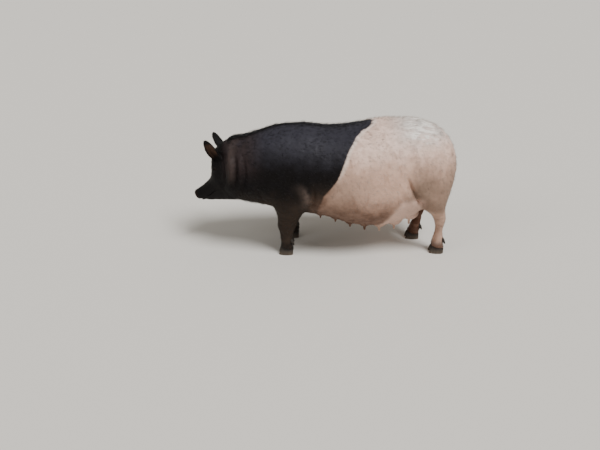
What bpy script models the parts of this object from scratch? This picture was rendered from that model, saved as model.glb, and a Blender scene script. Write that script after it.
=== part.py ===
"""A domestic sow of the pot-bellied type, life size, standing with her head lowered and a little aside.

Metres, +Z up. She faces -X and her left side is towards -Y. Her soles stand on z = 0.
"""

import math
from collections import namedtuple

import bmesh
import bpy
import numpy as np
from mathutils import Matrix, Vector
from mathutils.bvhtree import BVHTree

# Clearance between neighbouring parts
GAP = 0.0003
# Further than any part of her from her middle
FAR = 1.6
SIDES = (-1, 1)
BACKWARD = Vector((1, 0, 0))
SIDEWAYS = Vector((0, 1, 0))

# Trunk, in upright sections from the neck to the rump
Section = namedtuple("Section", "x top bottom widest half_width")
TRUNK = (
    Section(-0.500, 0.460, 0.330, 0.39, 0.070),
    Section(-0.470, 0.505, 0.280, 0.38, 0.120),
    Section(-0.410, 0.547, 0.254, 0.37, 0.145),
    Section(-0.320, 0.580, 0.236, 0.37, 0.166),
    Section(-0.230, 0.606, 0.216, 0.36, 0.184),
    Section(-0.120, 0.613, 0.200, 0.34, 0.203),
    Section(0.010, 0.603, 0.176, 0.32, 0.223),
    Section(0.140, 0.617, 0.138, 0.31, 0.231),
    Section(0.260, 0.638, 0.130, 0.33, 0.222),
    Section(0.370, 0.641, 0.158, 0.36, 0.202),
    Section(0.470, 0.617, 0.224, 0.38, 0.178),
    Section(0.540, 0.575, 0.280, 0.41, 0.144),
    Section(0.580, 0.520, 0.340, 0.43, 0.096),
    Section(0.596, 0.470, 0.390, 0.43, 0.045),
)
TRUNK_BACK_POWER = 2.25
TRUNK_BELLY_POWER = 2.1
TRUNK_RINGS = 90
TRUNK_SIDES = 48

# Legs, in level sections from the body down to the claws
Level = namedtuple("Level", "z front rear centre half_width")
FORELEG = (
    Level(0.430, -0.270, -0.130, 0.110, 0.050),
    Level(0.340, -0.272, -0.100, 0.120, 0.064),
    Level(0.260, -0.256, -0.090, 0.116, 0.062),
    Level(0.200, -0.236, -0.120, 0.108, 0.047),
    Level(0.150, -0.232, -0.148, 0.103, 0.036),
    Level(0.120, -0.230, -0.154, 0.101, 0.033),
    Level(0.085, -0.221, -0.164, 0.099, 0.028),
    Level(0.058, -0.218, -0.163, 0.098, 0.031),
    Level(0.015, -0.219, -0.161, 0.098, 0.032),
)
HINDLEG = (
    Level(0.470, 0.385, 0.565, 0.100, 0.060),
    Level(0.380, 0.362, 0.576, 0.112, 0.078),
    Level(0.300, 0.384, 0.560, 0.114, 0.076),
    Level(0.245, 0.432, 0.552, 0.106, 0.058),
    Level(0.205, 0.484, 0.559, 0.096, 0.038),
    Level(0.175, 0.505, 0.561, 0.091, 0.031),
    Level(0.130, 0.511, 0.555, 0.087, 0.027),
    Level(0.085, 0.508, 0.555, 0.084, 0.028),
    Level(0.058, 0.504, 0.558, 0.083, 0.031),
    Level(0.015, 0.502, 0.560, 0.083, 0.032),
)
LEG_POWER = 2.2
LEG_RINGS = 40
LEG_SIDES = 28
# How far the sole lies behind (+) or ahead (-) of the leg's own upright, and how high the leg hangs from
Stance = namedtuple("Stance", "sections side stride pivot")
LEGS = {
    "leg_fore_left": Stance(FORELEG, -1, 0.000, 0.40),
    "leg_fore_right": Stance(FORELEG, 1, 0.030, 0.40),
    "leg_hind_left": Stance(HINDLEG, -1, 0.006, 0.42),
    "leg_hind_right": Stance(HINDLEG, 1, -0.092, 0.42),
}
# Where each kind of leg is parted from the trunk: its front and rear, its top and that top's slope
LegCut = namedtuple("LegCut", "front rear top slope")
FORE_CUT = LegCut(-0.283, -0.084, 0.236, math.radians(-8))
HIND_CUT = LegCut(0.410, 0.700, 0.300, math.radians(8))
LEG_INNER = 0.050
LEG_OUTER = 0.500
LEG_BELOW = 0.050

# Soft masses that round out the plain forms on both sides: their places and radii
Mass = namedtuple("Mass", "x aside z radii")
BODY_MASSES = {
    "shoulder": Mass(-0.185, 0.114, 0.370, (0.118, 0.067, 0.138)),
    "elbow": Mass(-0.128, 0.120, 0.262, (0.034, 0.040, 0.042)),
    "ham": Mass(0.460, 0.090, 0.400, (0.124, 0.087, 0.144)),
}
HEAD_MASSES = {
    "cheek": Mass(0.012, 0.068, -0.006, (0.076, 0.046, 0.066)),
    "brow": Mass(-0.044, 0.056, 0.123, (0.026, 0.0155, 0.0105)),
    "chin": Mass(-0.148, 0.008, -0.026, (0.048, 0.024, 0.019)),
}

# Claws, on a coronet that slopes down to the heel
CLAW_HEIGHT = 0.034
CLAW_SLOPE = 0.24
CLAW_WIDTH = 0.029
CLAW_SPLIT = 0.005
CLAW_TOE = 0.011
# Height as a share of the claw's own, the toe's reach beyond the foot as a share, and the size
CLAW_RINGS = ((0.0, 1.0, 1.0), (0.32, 0.75, 1.03), (1.0, 0.0, 0.96))
CLAW_SIDES = 16
CLAW_POWER = 2.3
CLAW_TOE_NARROWING = 0.46
CLAW_TOE_BLUNTNESS = 1.6
CLEFT_HEIGHT = 0.022
CLEFT_OVERLAP = 0.016

# Dew claws
DEW_HEIGHT = 0.072
DEW_SPREAD = 0.017
DEW_LENGTH = 0.030
DEW_RADIUS = 0.0095
DEW_SUNK = 0.010
DEW_LEAN = Vector((0.55, 0.18, -1.0))
# Shares of the length and the radius, from the root to the tip
DEW_PROFILE = ((0.0, 0.9), (0.45, 1.0), (0.85, 0.75), (1.0, 0.4))

# Head, in sections along the face: ahead is the distance towards the snout
Face = namedtuple("Face", "ahead top bottom widest half_width")
HEAD_CENTRE = Vector((-0.420, 0.000, 0.345))
HEAD_TURN = math.radians(10)
HEAD_DIP = math.radians(26)
FACE = (
    Face(-0.120, 0.178, -0.060, 0.040, 0.095),
    Face(-0.060, 0.193, -0.090, 0.020, 0.112),
    Face(0.000, 0.192, -0.096, 0.000, 0.108),
    Face(0.040, 0.174, -0.086, 0.005, 0.099),
    Face(0.065, 0.150, -0.078, 0.008, 0.090),
    Face(0.080, 0.127, -0.073, 0.008, 0.082),
    Face(0.094, 0.100, -0.068, 0.004, 0.075),
    Face(0.115, 0.072, -0.060, 0.002, 0.065),
    Face(0.140, 0.056, -0.052, 0.002, 0.055),
    Face(0.168, 0.046, -0.042, 0.004, 0.047),
    Face(0.196, 0.039, -0.027, 0.006, 0.040),
    Face(0.232, 0.034, -0.012, 0.010, 0.035),
)
FACE_TOP_POWER = 2.1
FACE_JAW_POWER = 2.2
FACE_RINGS = 60
FACE_SIDES = 40
NAPE_AHEAD = -0.058
NAPE_SLOPE = math.radians(10)
NECK_CUT_X = -0.315
NECK_CUT_HEIGHT = 0.400
NECK_CUT_SLOPE = math.radians(-6)

# Snout disc and nostrils
DISC_AHEAD = 0.215
DISC_UP = 0.011
DISC_THICKNESS = 0.014
DISC_HALF_WIDTH = 0.036
DISC_HALF_HEIGHT = 0.025
DISC_LEAN = math.radians(-4)
DISC_SIDES = 28
DISC_POWERS = (2.5, 2.1)
# Shares of the thickness and of the size, from the muzzle to the face of the disc
DISC_PROFILE = ((0.0, 0.90), (0.25, 1.0), (0.70, 1.0), (0.92, 0.94), (1.0, 0.84))
NOSTRIL_HALF_WIDTH = 0.0046
NOSTRIL_HALF_HEIGHT = 0.0064
NOSTRIL_DEPTH = 0.011
NOSTRIL_FLARE = 1.9
NOSTRIL_SPREAD = 0.0150
NOSTRIL_UP = 0.002
NOSTRIL_SIDES = 12

# Mouth, as a groove between two lips that runs round the muzzle and rises to its corners
MOUTH_AHEAD = 0.130
MOUTH_UP = -0.016
MOUTH_RISE = 0.026
MOUTH_RISE_POWER = 1.6
MOUTH_SWEEP = math.radians(118)
MOUTH_STATIONS = 27
MOUTH_DEPTH = 0.008
MOUTH_CORNER_DEPTH = 0.0015
MOUTH_CORNER_POWER = 6
MOUTH_WIDTH = 0.0040
MOUTH_BOTTOM_WIDTH = 0.0010
MOUTH_CLEAR = 0.020
LIP_RADIUS = 0.0062
LIP_PROUD = 0.0024
LIP_SIDES = 8
LIP_FADING = 0.5
LIP_FADING_POWER = 4

# Eyes and lids
EYE_RADIUS = 0.0120
EYE_RINGS = 9
EYE_AHEAD = 0.056
EYE_UP = 0.102
EYE_SUNK = 0.0125
LID_RADII = (0.0158, 0.0205, 0.0150)
LID_RINGS = 10
LID_HALF_WIDTH = 0.0114
LID_HALF_HEIGHT = 0.0054
LID_CORNER_POWER = 1.3
LID_SIDES = 14
LID_OPENING = (0.002, 0.030)

# Ears
EAR_LENGTH = 0.109
EAR_HALF_WIDTH = 0.035
EAR_THICKNESS = 0.0060
EAR_SUNK = 0.030
EAR_AHEAD = 0.010
EAR_ASIDE = 0.066
EAR_CURL = 0.85
EAR_CURL_LOST = 0.70
EAR_CURL_NARROWING = 0.18
EAR_BEND = 0.014
EAR_TIP_ROUNDNESS = 3.8
EAR_ROOT_WIDTH = 0.82
EAR_RIM_THINNING = 0.4
EAR_RIM_POWER = 3
EAR_TIP_THINNING = 0.35
EAR_TIP_SHARE = 0.985
EAR_ROWS = 11
EAR_COLUMNS = 8
# How far each leans forward and outward for its rise, and how far from straight ahead it opens
Ear = namedtuple("Ear", "side forward outward opens")
EARS = {
    "ear_left": Ear(-1, -0.05, 0.40, math.radians(70)),
    "ear_right": Ear(1, 0.32, 0.50, math.radians(15)),
}

# Teats, in two rows, each on its own gland, longer towards the rear
TEAT_PAIRS = 7
TEAT_FIRST_X = -0.030
TEAT_LAST_X = 0.400
TEAT_SPREAD_FIRST = 0.062
TEAT_SPREAD_LAST = 0.034
TEAT_RADIUS = 0.0075
TEAT_LENGTH_FIRST = 0.014
TEAT_LENGTH_LAST = 0.027
TEAT_SUNK = 0.012
TEAT_LEAN = Vector((0.05, 0.12, -1.0))
GLAND_RADII = (0.042, 0.038, 0.034)
GLAND_SIZE_FIRST = 0.60
GLAND_SIZE_LAST = 1.08
GLAND_UP = 0.014
TeatPlace = namedtuple("TeatPlace", "x spread length gland")
TEAT_PROFILE = ((0.0, 1.5), (0.4, 1.15), (0.65, 0.95), (0.92, 0.85), (1.0, 0.5))
PEG_SIDES = 9

# Tail: from inside the rump out, over and down
TAIL_HEIGHT = 0.490
TAIL_ASIDE = 0.034
TAIL_SUNK = 0.030
TAIL_REACH = 0.020
TAIL_ARCH = 0.006
TAIL_DROP = 0.180
TAIL_SWING = 0.016
TAIL_TUCK = 0.75
TAIL_RADIUS = 0.0115
TAIL_TIP_RADIUS = 0.0060
TAIL_FLATNESS = 0.85
TAIL_RINGS = 12
TAIL_SIDES = 12

# The tuft at its end: a short core and flat tapered locks that fan out from it
TUFT_CORE = ((0.000, 0.0060), (0.012, 0.0075), (0.030, 0.0040))
TUFT_CORE_SIDES = 10
TUFT_LENGTH = 0.085
TUFT_SHORTENING = 0.35
TUFT_LOCKS = 12
TUFT_TURN = 0.382
TUFT_SPLAY = 0.018
TUFT_SPLAY_INSIDE = 0.35
TUFT_ROOT_SPREAD = 0.1
TUFT_CURVE = 1.5
TUFT_ROOTS = (0.004, 0.014)
LOCK_PROFILE = ((0.0, 0.0050), (0.35, 0.0052), (0.7, 0.0034), (1.0, 0.0008))
LOCK_FLATNESS = 0.42
LOCK_SIDES = 6

# Mesh finish
BODY_VOXEL = 0.005
BODY_SMOOTHING = 11
SMOOTHING_FACTOR = 0.5
BODY_TRIANGLES = 5200
HEAD_TRIANGLES = 11500
MASS_RINGS = 16
SHARP_ANGLE = math.radians(50)

# Base colour and roughness of each finish
COLOURS = {
    "dark_skin": ((0.030, 0.028, 0.030), 0.62),
    "pale_skin": ((0.52, 0.43, 0.39), 0.62),
    "snout_skin": ((0.060, 0.045, 0.044), 0.45),
    "eye": ((0.012, 0.008, 0.006), 0.10),
    "claw_horn": ((0.10, 0.085, 0.070), 0.48),
    "bristle": ((0.10, 0.09, 0.085), 0.60),
}


def through(knots, values, at):
    """Values at some places of a smooth curve through the knots, which doesn't overshoot between them."""
    knots = np.asarray(knots, float)
    values = np.asarray(values, float)
    if knots[0] > knots[-1]:
        knots = knots[::-1]
        values = values[::-1]
    steps = np.diff(knots)
    slopes = np.diff(values) / steps
    same_way = slopes[:-1] * slopes[1:] > 0
    inner = np.zeros(len(knots) - 2)
    inner[same_way] = 2 / (1 / slopes[:-1][same_way] + 1 / slopes[1:][same_way])
    tangents = np.concatenate([[slopes[0]], inner, [slopes[-1]]])
    cell = np.clip(np.searchsorted(knots, at) - 1, 0, len(steps) - 1)
    step = steps[cell]
    t = (np.asarray(at, float) - knots[cell]) / step
    start, end = values[cell], values[cell + 1]
    return (
        start * (1 + 2 * t) * (1 - t) ** 2
        + end * t**2 * (3 - 2 * t)
        + step * tangents[cell] * t * (1 - t) ** 2
        - step * tangents[cell + 1] * t**2 * (1 - t)
    )


def table(sections, count):
    """Every field of the sections at a number of even places, along their first field."""
    columns = list(zip(*sections))
    at = np.linspace(columns[0][0], columns[0][-1], count)
    return zip(at, *(through(columns[0], column, at) for column in columns[1:]))


def oval(count, power_up=2.0, power_down=2.0):
    """Points of a unit superellipse, whose upper and lower halves may differ in squareness."""
    points = []
    for i in range(count):
        angle = 2 * math.pi * i / count
        c, s = math.cos(angle), math.sin(angle)
        power = power_up if s > 0 else power_down
        across = math.copysign(abs(c) ** (2 / power), c)
        points.append((across, math.copysign(abs(s) ** (2 / power), s)))
    return points


def skin_rings(mesh, rings):
    """Joins rings of points into one closed tube with flat ends."""
    made = [[mesh.verts.new(point) for point in ring] for ring in rings]
    count = len(made[0])
    for first, second in zip(made, made[1:]):
        for i in range(count):
            j = (i + 1) % count
            mesh.faces.new((first[i], first[j], second[j], second[i]))
    mesh.faces.new(reversed(made[0]))
    mesh.faces.new(made[-1])
    bmesh.ops.recalc_face_normals(mesh, faces=mesh.faces)


def add_object(name, mesh, slot=None):
    """Makes an object of a bmesh and frees it."""
    data = bpy.data.meshes.new(name)
    mesh.to_mesh(data)
    mesh.free()
    made = bpy.data.objects.new(name, data)
    bpy.context.scene.collection.objects.link(made)
    if slot:
        data.materials.append(material(slot))
    return made


def tube(name, rings, slot=None, matrix=None):
    """A closed object lofted through rings of points, moved by a matrix."""
    mesh = bmesh.new()
    skin_rings(mesh, rings)
    if matrix:
        mesh.transform(matrix)
    return add_object(name, mesh, slot)


def material(slot):
    """The Principled material of that finish, made once."""
    found = bpy.data.materials.get(slot)
    if found:
        return found
    colour, roughness = COLOURS[slot]
    made = bpy.data.materials.new(slot)
    made.use_nodes = True
    shader = made.node_tree.nodes["Principled BSDF"]
    shader.inputs["Base Color"].default_value = (*colour, 1.0)
    shader.inputs["Roughness"].default_value = roughness
    shader.inputs["Metallic"].default_value = 0.0
    return made


def apply_modifiers(made):
    """Replaces an object's mesh by what its modifiers make of it."""
    bpy.context.view_layer.update()
    graph = bpy.context.evaluated_depsgraph_get()
    data = bpy.data.meshes.new_from_object(made.evaluated_get(graph))
    made.modifiers.clear()
    made.data = data


def combine(made, operation, others):
    """Applies one Boolean of a collection of closed meshes to an object, and removes them."""
    group = bpy.data.collections.new("cutters")
    for other in others:
        group.objects.link(other)
    modifier = made.modifiers.new(operation.lower(), "BOOLEAN")
    modifier.operation = operation
    modifier.operand_type = "COLLECTION"
    modifier.collection = group
    apply_modifiers(made)
    for other in others:
        bpy.data.objects.remove(other)
    bpy.data.collections.remove(group)
    keep_largest(made)


def overlap(made, region):
    """Keeps what an object shares with one closed region, and removes the region."""
    modifier = made.modifiers.new("region", "BOOLEAN")
    modifier.operation = "INTERSECT"
    modifier.object = region
    apply_modifiers(made)
    bpy.data.objects.remove(region)
    keep_largest(made)


def keep_largest(made):
    """Drops every loose surface of an object but the one with the most corners."""
    mesh = bmesh.new()
    mesh.from_mesh(made.data)
    left = set(mesh.verts)
    islands = []
    while left:
        island = {left.pop()}
        edge = list(island)
        while edge:
            for link in edge.pop().link_edges:
                for vert in link.verts:
                    if vert in left:
                        left.remove(vert)
                        island.add(vert)
                        edge.append(vert)
        islands.append(island)
    islands.sort(key=len, reverse=True)
    scraps = [vert for island in islands[1:] for vert in island]
    bmesh.ops.delete(mesh, geom=scraps, context="VERTS")
    mesh.to_mesh(made.data)
    mesh.free()


def fuse(name, pieces, voxel, smoothing):
    """Melts overlapping closed pieces into one skin of even quads, and removes them."""
    mesh = bmesh.new()
    for piece in pieces:
        mesh.from_mesh(piece.data)
        bpy.data.objects.remove(piece)
    made = add_object(name, mesh)
    remesh = made.modifiers.new("melt", "REMESH")
    remesh.mode = "VOXEL"
    remesh.voxel_size = voxel
    smooth = made.modifiers.new("soften", "SMOOTH")
    smooth.factor = SMOOTHING_FACTOR
    smooth.iterations = smoothing
    apply_modifiers(made)
    keep_largest(made)
    return made


def thin_out(made, triangles):
    """Collapses edges until about so many triangles are left."""
    made.data.calc_loop_triangles()
    decimate = made.modifiers.new("thin out", "DECIMATE")
    decimate.ratio = min(1.0, triangles / len(made.data.loop_triangles))
    apply_modifiers(made)


def copy_of(made, name, slot=None):
    """A separate copy of an object, with its own mesh."""
    twin = made.copy()
    twin.data = made.data.copy()
    twin.name = name
    twin.data.name = name
    bpy.context.scene.collection.objects.link(twin)
    if slot:
        twin.data.materials.clear()
        twin.data.materials.append(material(slot))
    return twin


def swollen(made):
    """A copy of an object with its surface moved out by the clearance, to cut a neighbour clear of it."""
    twin = copy_of(made, "swollen_" + made.name)
    mesh = bmesh.new()
    mesh.from_mesh(twin.data)
    mesh.normal_update()
    moved = [vert.co + vert.normal * GAP for vert in mesh.verts]
    for vert, place in zip(mesh.verts, moved):
        vert.co = place
    mesh.to_mesh(twin.data)
    mesh.free()
    return twin


def box(name, low, high, matrix=None):
    """A closed box between two corners, moved by a matrix."""
    mesh = bmesh.new()
    low, high = Vector(low), Vector(high)
    bmesh.ops.create_cube(mesh, size=1.0)
    bmesh.ops.scale(mesh, vec=high - low, verts=mesh.verts)
    bmesh.ops.translate(mesh, vec=(low + high) / 2, verts=mesh.verts)
    if matrix:
        mesh.transform(matrix)
    return add_object(name, mesh)


def ellipsoid(name, centre, radii, matrix=None, rings=MASS_RINGS, slot=None):
    """A closed ellipsoid, moved by a matrix."""
    mesh = bmesh.new()
    bmesh.ops.create_uvsphere(mesh, u_segments=2 * rings, v_segments=rings, radius=1.0)
    bmesh.ops.scale(mesh, vec=radii, verts=mesh.verts)
    bmesh.ops.translate(mesh, vec=centre, verts=mesh.verts)
    if matrix:
        mesh.transform(matrix)
    return add_object(name, mesh, slot)


def stretched(shape, half_width, middle, top, bottom):
    """A unit outline stretched to a width and to its own rise above and drop below a middle height."""
    rise = top - middle
    drop = middle - bottom
    return [(half_width * c, middle + (rise if s > 0 else drop) * s) for c, s in shape]


def trunk_piece():
    """The trunk and the thick of the neck."""
    shape = oval(TRUNK_SIDES, TRUNK_BACK_POWER, TRUNK_BELLY_POWER)
    rings = []
    for x, top, bottom, widest, half_width in table(TRUNK, TRUNK_RINGS):
        outline = stretched(shape, half_width, widest, top, bottom)
        rings.append([(x, y, z) for y, z in outline])
    return tube("trunk", rings)


def leg_piece(name, stance):
    """One leg from inside the body to the top of its claws."""
    shape = oval(LEG_SIDES, LEG_POWER, LEG_POWER)
    rings = []
    for z, front, rear, centre, half_width in table(stance.sections, LEG_RINGS):
        middle = (front + rear) / 2 + stride_at(stance, z)
        reach = (rear - front) / 2
        rings.append([(middle + reach * c, stance.side * centre + half_width * s, z) for c, s in shape])
    return tube("flesh_" + name, rings)


def stride_at(stance, z):
    """How far a leg is swung back or forward at a height."""
    return stance.stride * (1 - min(z, stance.pivot) / stance.pivot)


def head_matrix():
    """Places the head's own frame, which looks along -X, in the world."""
    return (
        Matrix.Translation(HEAD_CENTRE)
        @ Matrix.Rotation(-HEAD_TURN, 4, "Z")
        @ Matrix.Rotation(-HEAD_DIP, 4, "Y")
    )


def skull_piece():
    """The head from the nape to the end of the muzzle."""
    shape = oval(FACE_SIDES, FACE_TOP_POWER, FACE_JAW_POWER)
    rings = []
    for ahead, top, bottom, widest, half_width in table(FACE, FACE_RINGS):
        outline = stretched(shape, half_width, widest, top, bottom)
        rings.append([(-ahead, y, z) for y, z in outline])
    return tube("skull", rings, matrix=head_matrix())


def mass_pieces(masses, matrix=None):
    """The soft masses of a table, on both sides."""
    return [
        ellipsoid(name, (mass.x, side * mass.aside, mass.z), mass.radii, matrix)
        for name, mass in masses.items()
        for side in SIDES
    ]


def gland_pieces():
    """The glands of the udder, one under each teat."""
    stations = [section.x for section in TRUNK]
    bottoms = [section.bottom for section in TRUNK]
    pieces = []
    for place in teat_places():
        height = through(stations, bottoms, place.x) + GLAND_UP
        radii = [radius * place.gland for radius in GLAND_RADII]
        for side in SIDES:
            pieces.append(ellipsoid("gland", (place.x, side * place.spread, height), radii))
    return pieces


def teat_places():
    """Where the pairs of teats stand along the trunk, and how large they are there."""
    places = zip(
        np.linspace(TEAT_FIRST_X, TEAT_LAST_X, TEAT_PAIRS),
        np.linspace(TEAT_SPREAD_FIRST, TEAT_SPREAD_LAST, TEAT_PAIRS),
        np.linspace(TEAT_LENGTH_FIRST, TEAT_LENGTH_LAST, TEAT_PAIRS),
        np.linspace(GLAND_SIZE_FIRST, GLAND_SIZE_LAST, TEAT_PAIRS),
    )
    return [TeatPlace(*(float(value) for value in place)) for place in places]


def body_skin():
    """The whole animal as one skin, without ears, tail, claws and eyes."""
    pieces = [trunk_piece(), skull_piece()]
    pieces += [leg_piece(name, stance) for name, stance in LEGS.items()]
    pieces += mass_pieces(BODY_MASSES)
    pieces += mass_pieces(HEAD_MASSES, head_matrix())
    pieces += gland_pieces()
    return fuse("body_skin", pieces, BODY_VOXEL, BODY_SMOOTHING)


def neck_plane():
    """The matrix of the cut between neck and trunk, whose +X side is the trunk."""
    place = Matrix.Translation((NECK_CUT_X, 0, NECK_CUT_HEIGHT))
    return place @ Matrix.Rotation(NECK_CUT_SLOPE, 4, "Y")


def nape_plane():
    """The matrix of the cut between head and neck, whose +X side is the neck."""
    place = head_matrix() @ Matrix.Translation((-NAPE_AHEAD, 0, 0))
    return place @ Matrix.Rotation(NAPE_SLOPE, 4, "Y")


def disc_plane():
    """The matrix of the snout disc's back face, which looks along -X."""
    place = head_matrix() @ Matrix.Translation((-DISC_AHEAD, 0, DISC_UP))
    return place @ Matrix.Rotation(DISC_LEAN, 4, "Y")


def ahead_of(name, plane, inset=0.0):
    """A large box on the -X side of a plane, held back from it by a distance."""
    return box(name, (-FAR, -FAR, -FAR), (-inset, FAR, FAR), plane)


def leg_region(name, shrink):
    """The closed region that belongs to a leg, smaller by the clearance for the leg itself."""
    cut = FORE_CUT if "fore" in name else HIND_CUT
    side = LEGS[name].side
    low_y, high_y = sorted((side * (LEG_INNER + shrink), side * LEG_OUTER))
    hinge = Matrix.Translation(((cut.front + cut.rear) / 2, 0, cut.top))
    hinge = hinge @ Matrix.Rotation(cut.slope, 4, "Y")
    half = (cut.rear - cut.front) / 2 - shrink
    low_z = -cut.top - LEG_BELOW
    return box("region_" + name, (-half, low_y, low_z), (half, high_y, -shrink), hinge)


def part_body(skin):
    """Cuts the whole skin into torso, neck, head and legs."""
    fine = copy_of(skin, "fine")
    thin_out(skin, BODY_TRIANGLES)
    thin_out(fine, HEAD_TRIANGLES)

    torso = copy_of(skin, "torso", "pale_skin")
    cutters = [ahead_of("front", neck_plane())]
    cutters += [leg_region(name, 0.0) for name in LEGS]
    combine(torso, "DIFFERENCE", cutters)

    neck = copy_of(skin, "neck", "dark_skin")
    overlap(neck, ahead_of("front", neck_plane(), GAP))
    combine(neck, "DIFFERENCE", [ahead_of("face", nape_plane())])

    head = copy_of(fine, "head", "dark_skin")
    overlap(head, ahead_of("face", nape_plane(), GAP))
    combine(head, "DIFFERENCE", [ahead_of("nose", disc_plane())])

    legs = {}
    for name in LEGS:
        leg = copy_of(skin, name, "dark_skin" if "fore" in name else "pale_skin")
        overlap(leg, leg_region(name, GAP))
        legs[name] = leg
    bpy.data.objects.remove(fine)
    bpy.data.objects.remove(skin)
    return torso, head, legs


def surface(made, origin, direction):
    """Where a ray first meets an object, and the outward normal there."""
    tree = BVHTree.FromPolygons(
        [vert.co for vert in made.data.vertices],
        [tuple(polygon.vertices) for polygon in made.data.polygons],
    )
    place, normal, _, _ = tree.ray_cast(Vector(origin), Vector(direction).normalized())
    if place is None:
        raise RuntimeError(f"no surface of {made.name} from {tuple(origin)}")
    return place, normal


def frame_of(place, outward, upward):
    """A matrix at a place whose +X looks outward and whose +Z leans towards upward."""
    x = Vector(outward).normalized()
    y = Vector(upward).cross(x).normalized()
    z = x.cross(y)
    matrix = Matrix((x, y, z)).transposed().to_4x4()
    return Matrix.Translation(place) @ matrix


def prism(name, outline, low, high, matrix, taper=1.0):
    """A closed prism along +X of a matrix, on an outline of (y, z) points, tapering outwards."""
    rings = [
        [(low, y, z) for y, z in outline],
        [(high, y * taper, z * taper) for y, z in outline],
    ]
    return tube(name, rings, matrix=matrix)


def almond(half_width, half_height):
    """An outline with a pointed corner on each side, as lids leave open."""
    points = []
    for i in range(LID_SIDES):
        angle = 2 * math.pi * i / LID_SIDES
        rise = math.copysign(abs(math.sin(angle)) ** LID_CORNER_POWER, math.sin(angle))
        points.append((half_width * math.cos(angle), half_height * rise))
    return points


def eye_frames(head):
    """For each side, the matrix at the middle of the eyeball, looking out."""
    matrix = head_matrix()
    turn = matrix.to_3x3()
    frames = {}
    for side in SIDES:
        origin = matrix @ Vector((-EYE_AHEAD, side * FAR, EYE_UP))
        place, normal = surface(head, origin, turn @ Vector((0, -side, 0)))
        frames[side] = frame_of(place - normal * EYE_SUNK, normal, turn @ Vector((0, 0, 1)))
    return frames


def shape_lids(head, frames):
    """Raises the lids on the head and opens them over the eyeballs."""
    centre = (0, 0, 0)
    lids = [ellipsoid("lid", centre, LID_RADII, frame, LID_RINGS) for frame in frames.values()]
    combine(head, "UNION", lids)
    outline = almond(LID_HALF_WIDTH, LID_HALF_HEIGHT)
    cutters = []
    for frame in frames.values():
        cutters.append(ellipsoid("socket", centre, (EYE_RADIUS + GAP,) * 3, frame, LID_RINGS))
        cutters.append(prism("opening", outline, *LID_OPENING, frame))
    combine(head, "DIFFERENCE", cutters)


def mouth_line(head):
    """Stations round the muzzle in the head's frame: a level point inside, the way out, the skin's reach
    and how near the corner of the mouth it is."""
    matrix = head_matrix()
    turn = matrix.to_3x3()
    stations = []
    for angle in np.linspace(-MOUTH_SWEEP, MOUTH_SWEEP, MOUTH_STATIONS):
        corner = abs(float(angle)) / MOUTH_SWEEP
        level = Vector((-MOUTH_AHEAD, 0, MOUTH_UP + MOUTH_RISE * corner**MOUTH_RISE_POWER))
        outward = Vector((-math.cos(angle), math.sin(angle), 0))
        skin, _ = surface(head, matrix @ (level + outward), turn @ -outward)
        reach = (matrix.inverted() @ skin - level).length
        stations.append((level, outward, reach, corner))
    return stations


def shape_mouth(head):
    """Raises both lips as one rim round the muzzle, and cuts the line of the mouth along its middle."""
    line = mouth_line(head)
    rise = Vector((0, 0, 1))
    lip_rings = []
    groove_rings = []
    for level, outward, reach, corner in line:
        fading = 1 - LIP_FADING * corner**LIP_FADING_POWER
        middle = level + outward * (reach + LIP_PROUD * fading - LIP_RADIUS)
        lip_rings.append(
            [middle + outward * LIP_RADIUS * c + rise * LIP_RADIUS * fading * s for c, s in oval(LIP_SIDES)]
        )
        depth = MOUTH_DEPTH + (MOUTH_CORNER_DEPTH - MOUTH_DEPTH) * corner**MOUTH_CORNER_POWER
        inner = level + outward * (reach + LIP_PROUD - depth)
        outer = level + outward * (reach + MOUTH_CLEAR)
        flare = (reach + MOUTH_CLEAR) / reach
        groove_rings.append(
            [
                inner - rise * MOUTH_BOTTOM_WIDTH / 2,
                outer - rise * MOUTH_WIDTH / 2 * flare,
                outer + rise * MOUTH_WIDTH / 2 * flare,
                inner + rise * MOUTH_BOTTOM_WIDTH / 2,
            ]
        )
    combine(head, "UNION", [tube("lips", lip_rings, matrix=head_matrix())])
    combine(head, "DIFFERENCE", [tube("mouth", groove_rings, matrix=head_matrix())])


def make_snout():
    """The flat disc of the snout with its two nostrils."""
    matrix = disc_plane()
    shape = oval(DISC_SIDES, *DISC_POWERS)
    rings = []
    for along, size in DISC_PROFILE:
        x = -GAP - (DISC_THICKNESS - GAP) * along
        rings.append([(x, DISC_HALF_WIDTH * size * c, DISC_HALF_HEIGHT * size * s) for c, s in shape])
    disc = tube("snout", rings, "snout_skin", matrix)
    outline = [(NOSTRIL_HALF_WIDTH * c, NOSTRIL_HALF_HEIGHT * s) for c, s in oval(NOSTRIL_SIDES)]
    cutters = []
    for side in SIDES:
        place = matrix @ Matrix.Translation((-DISC_THICKNESS, side * NOSTRIL_SPREAD, NOSTRIL_UP))
        cutters.append(prism("nostril", outline, NOSTRIL_DEPTH, -NOSTRIL_DEPTH, place, NOSTRIL_FLARE))
    combine(disc, "DIFFERENCE", cutters)


def leaf_width(along):
    """Half width of the ear along its length, as a share of the widest."""
    swell = EAR_ROOT_WIDTH + (1 - EAR_ROOT_WIDTH) * math.sin(math.pi * along)
    return (1 - along**EAR_TIP_ROUNDNESS) ** 0.5 * swell


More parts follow.
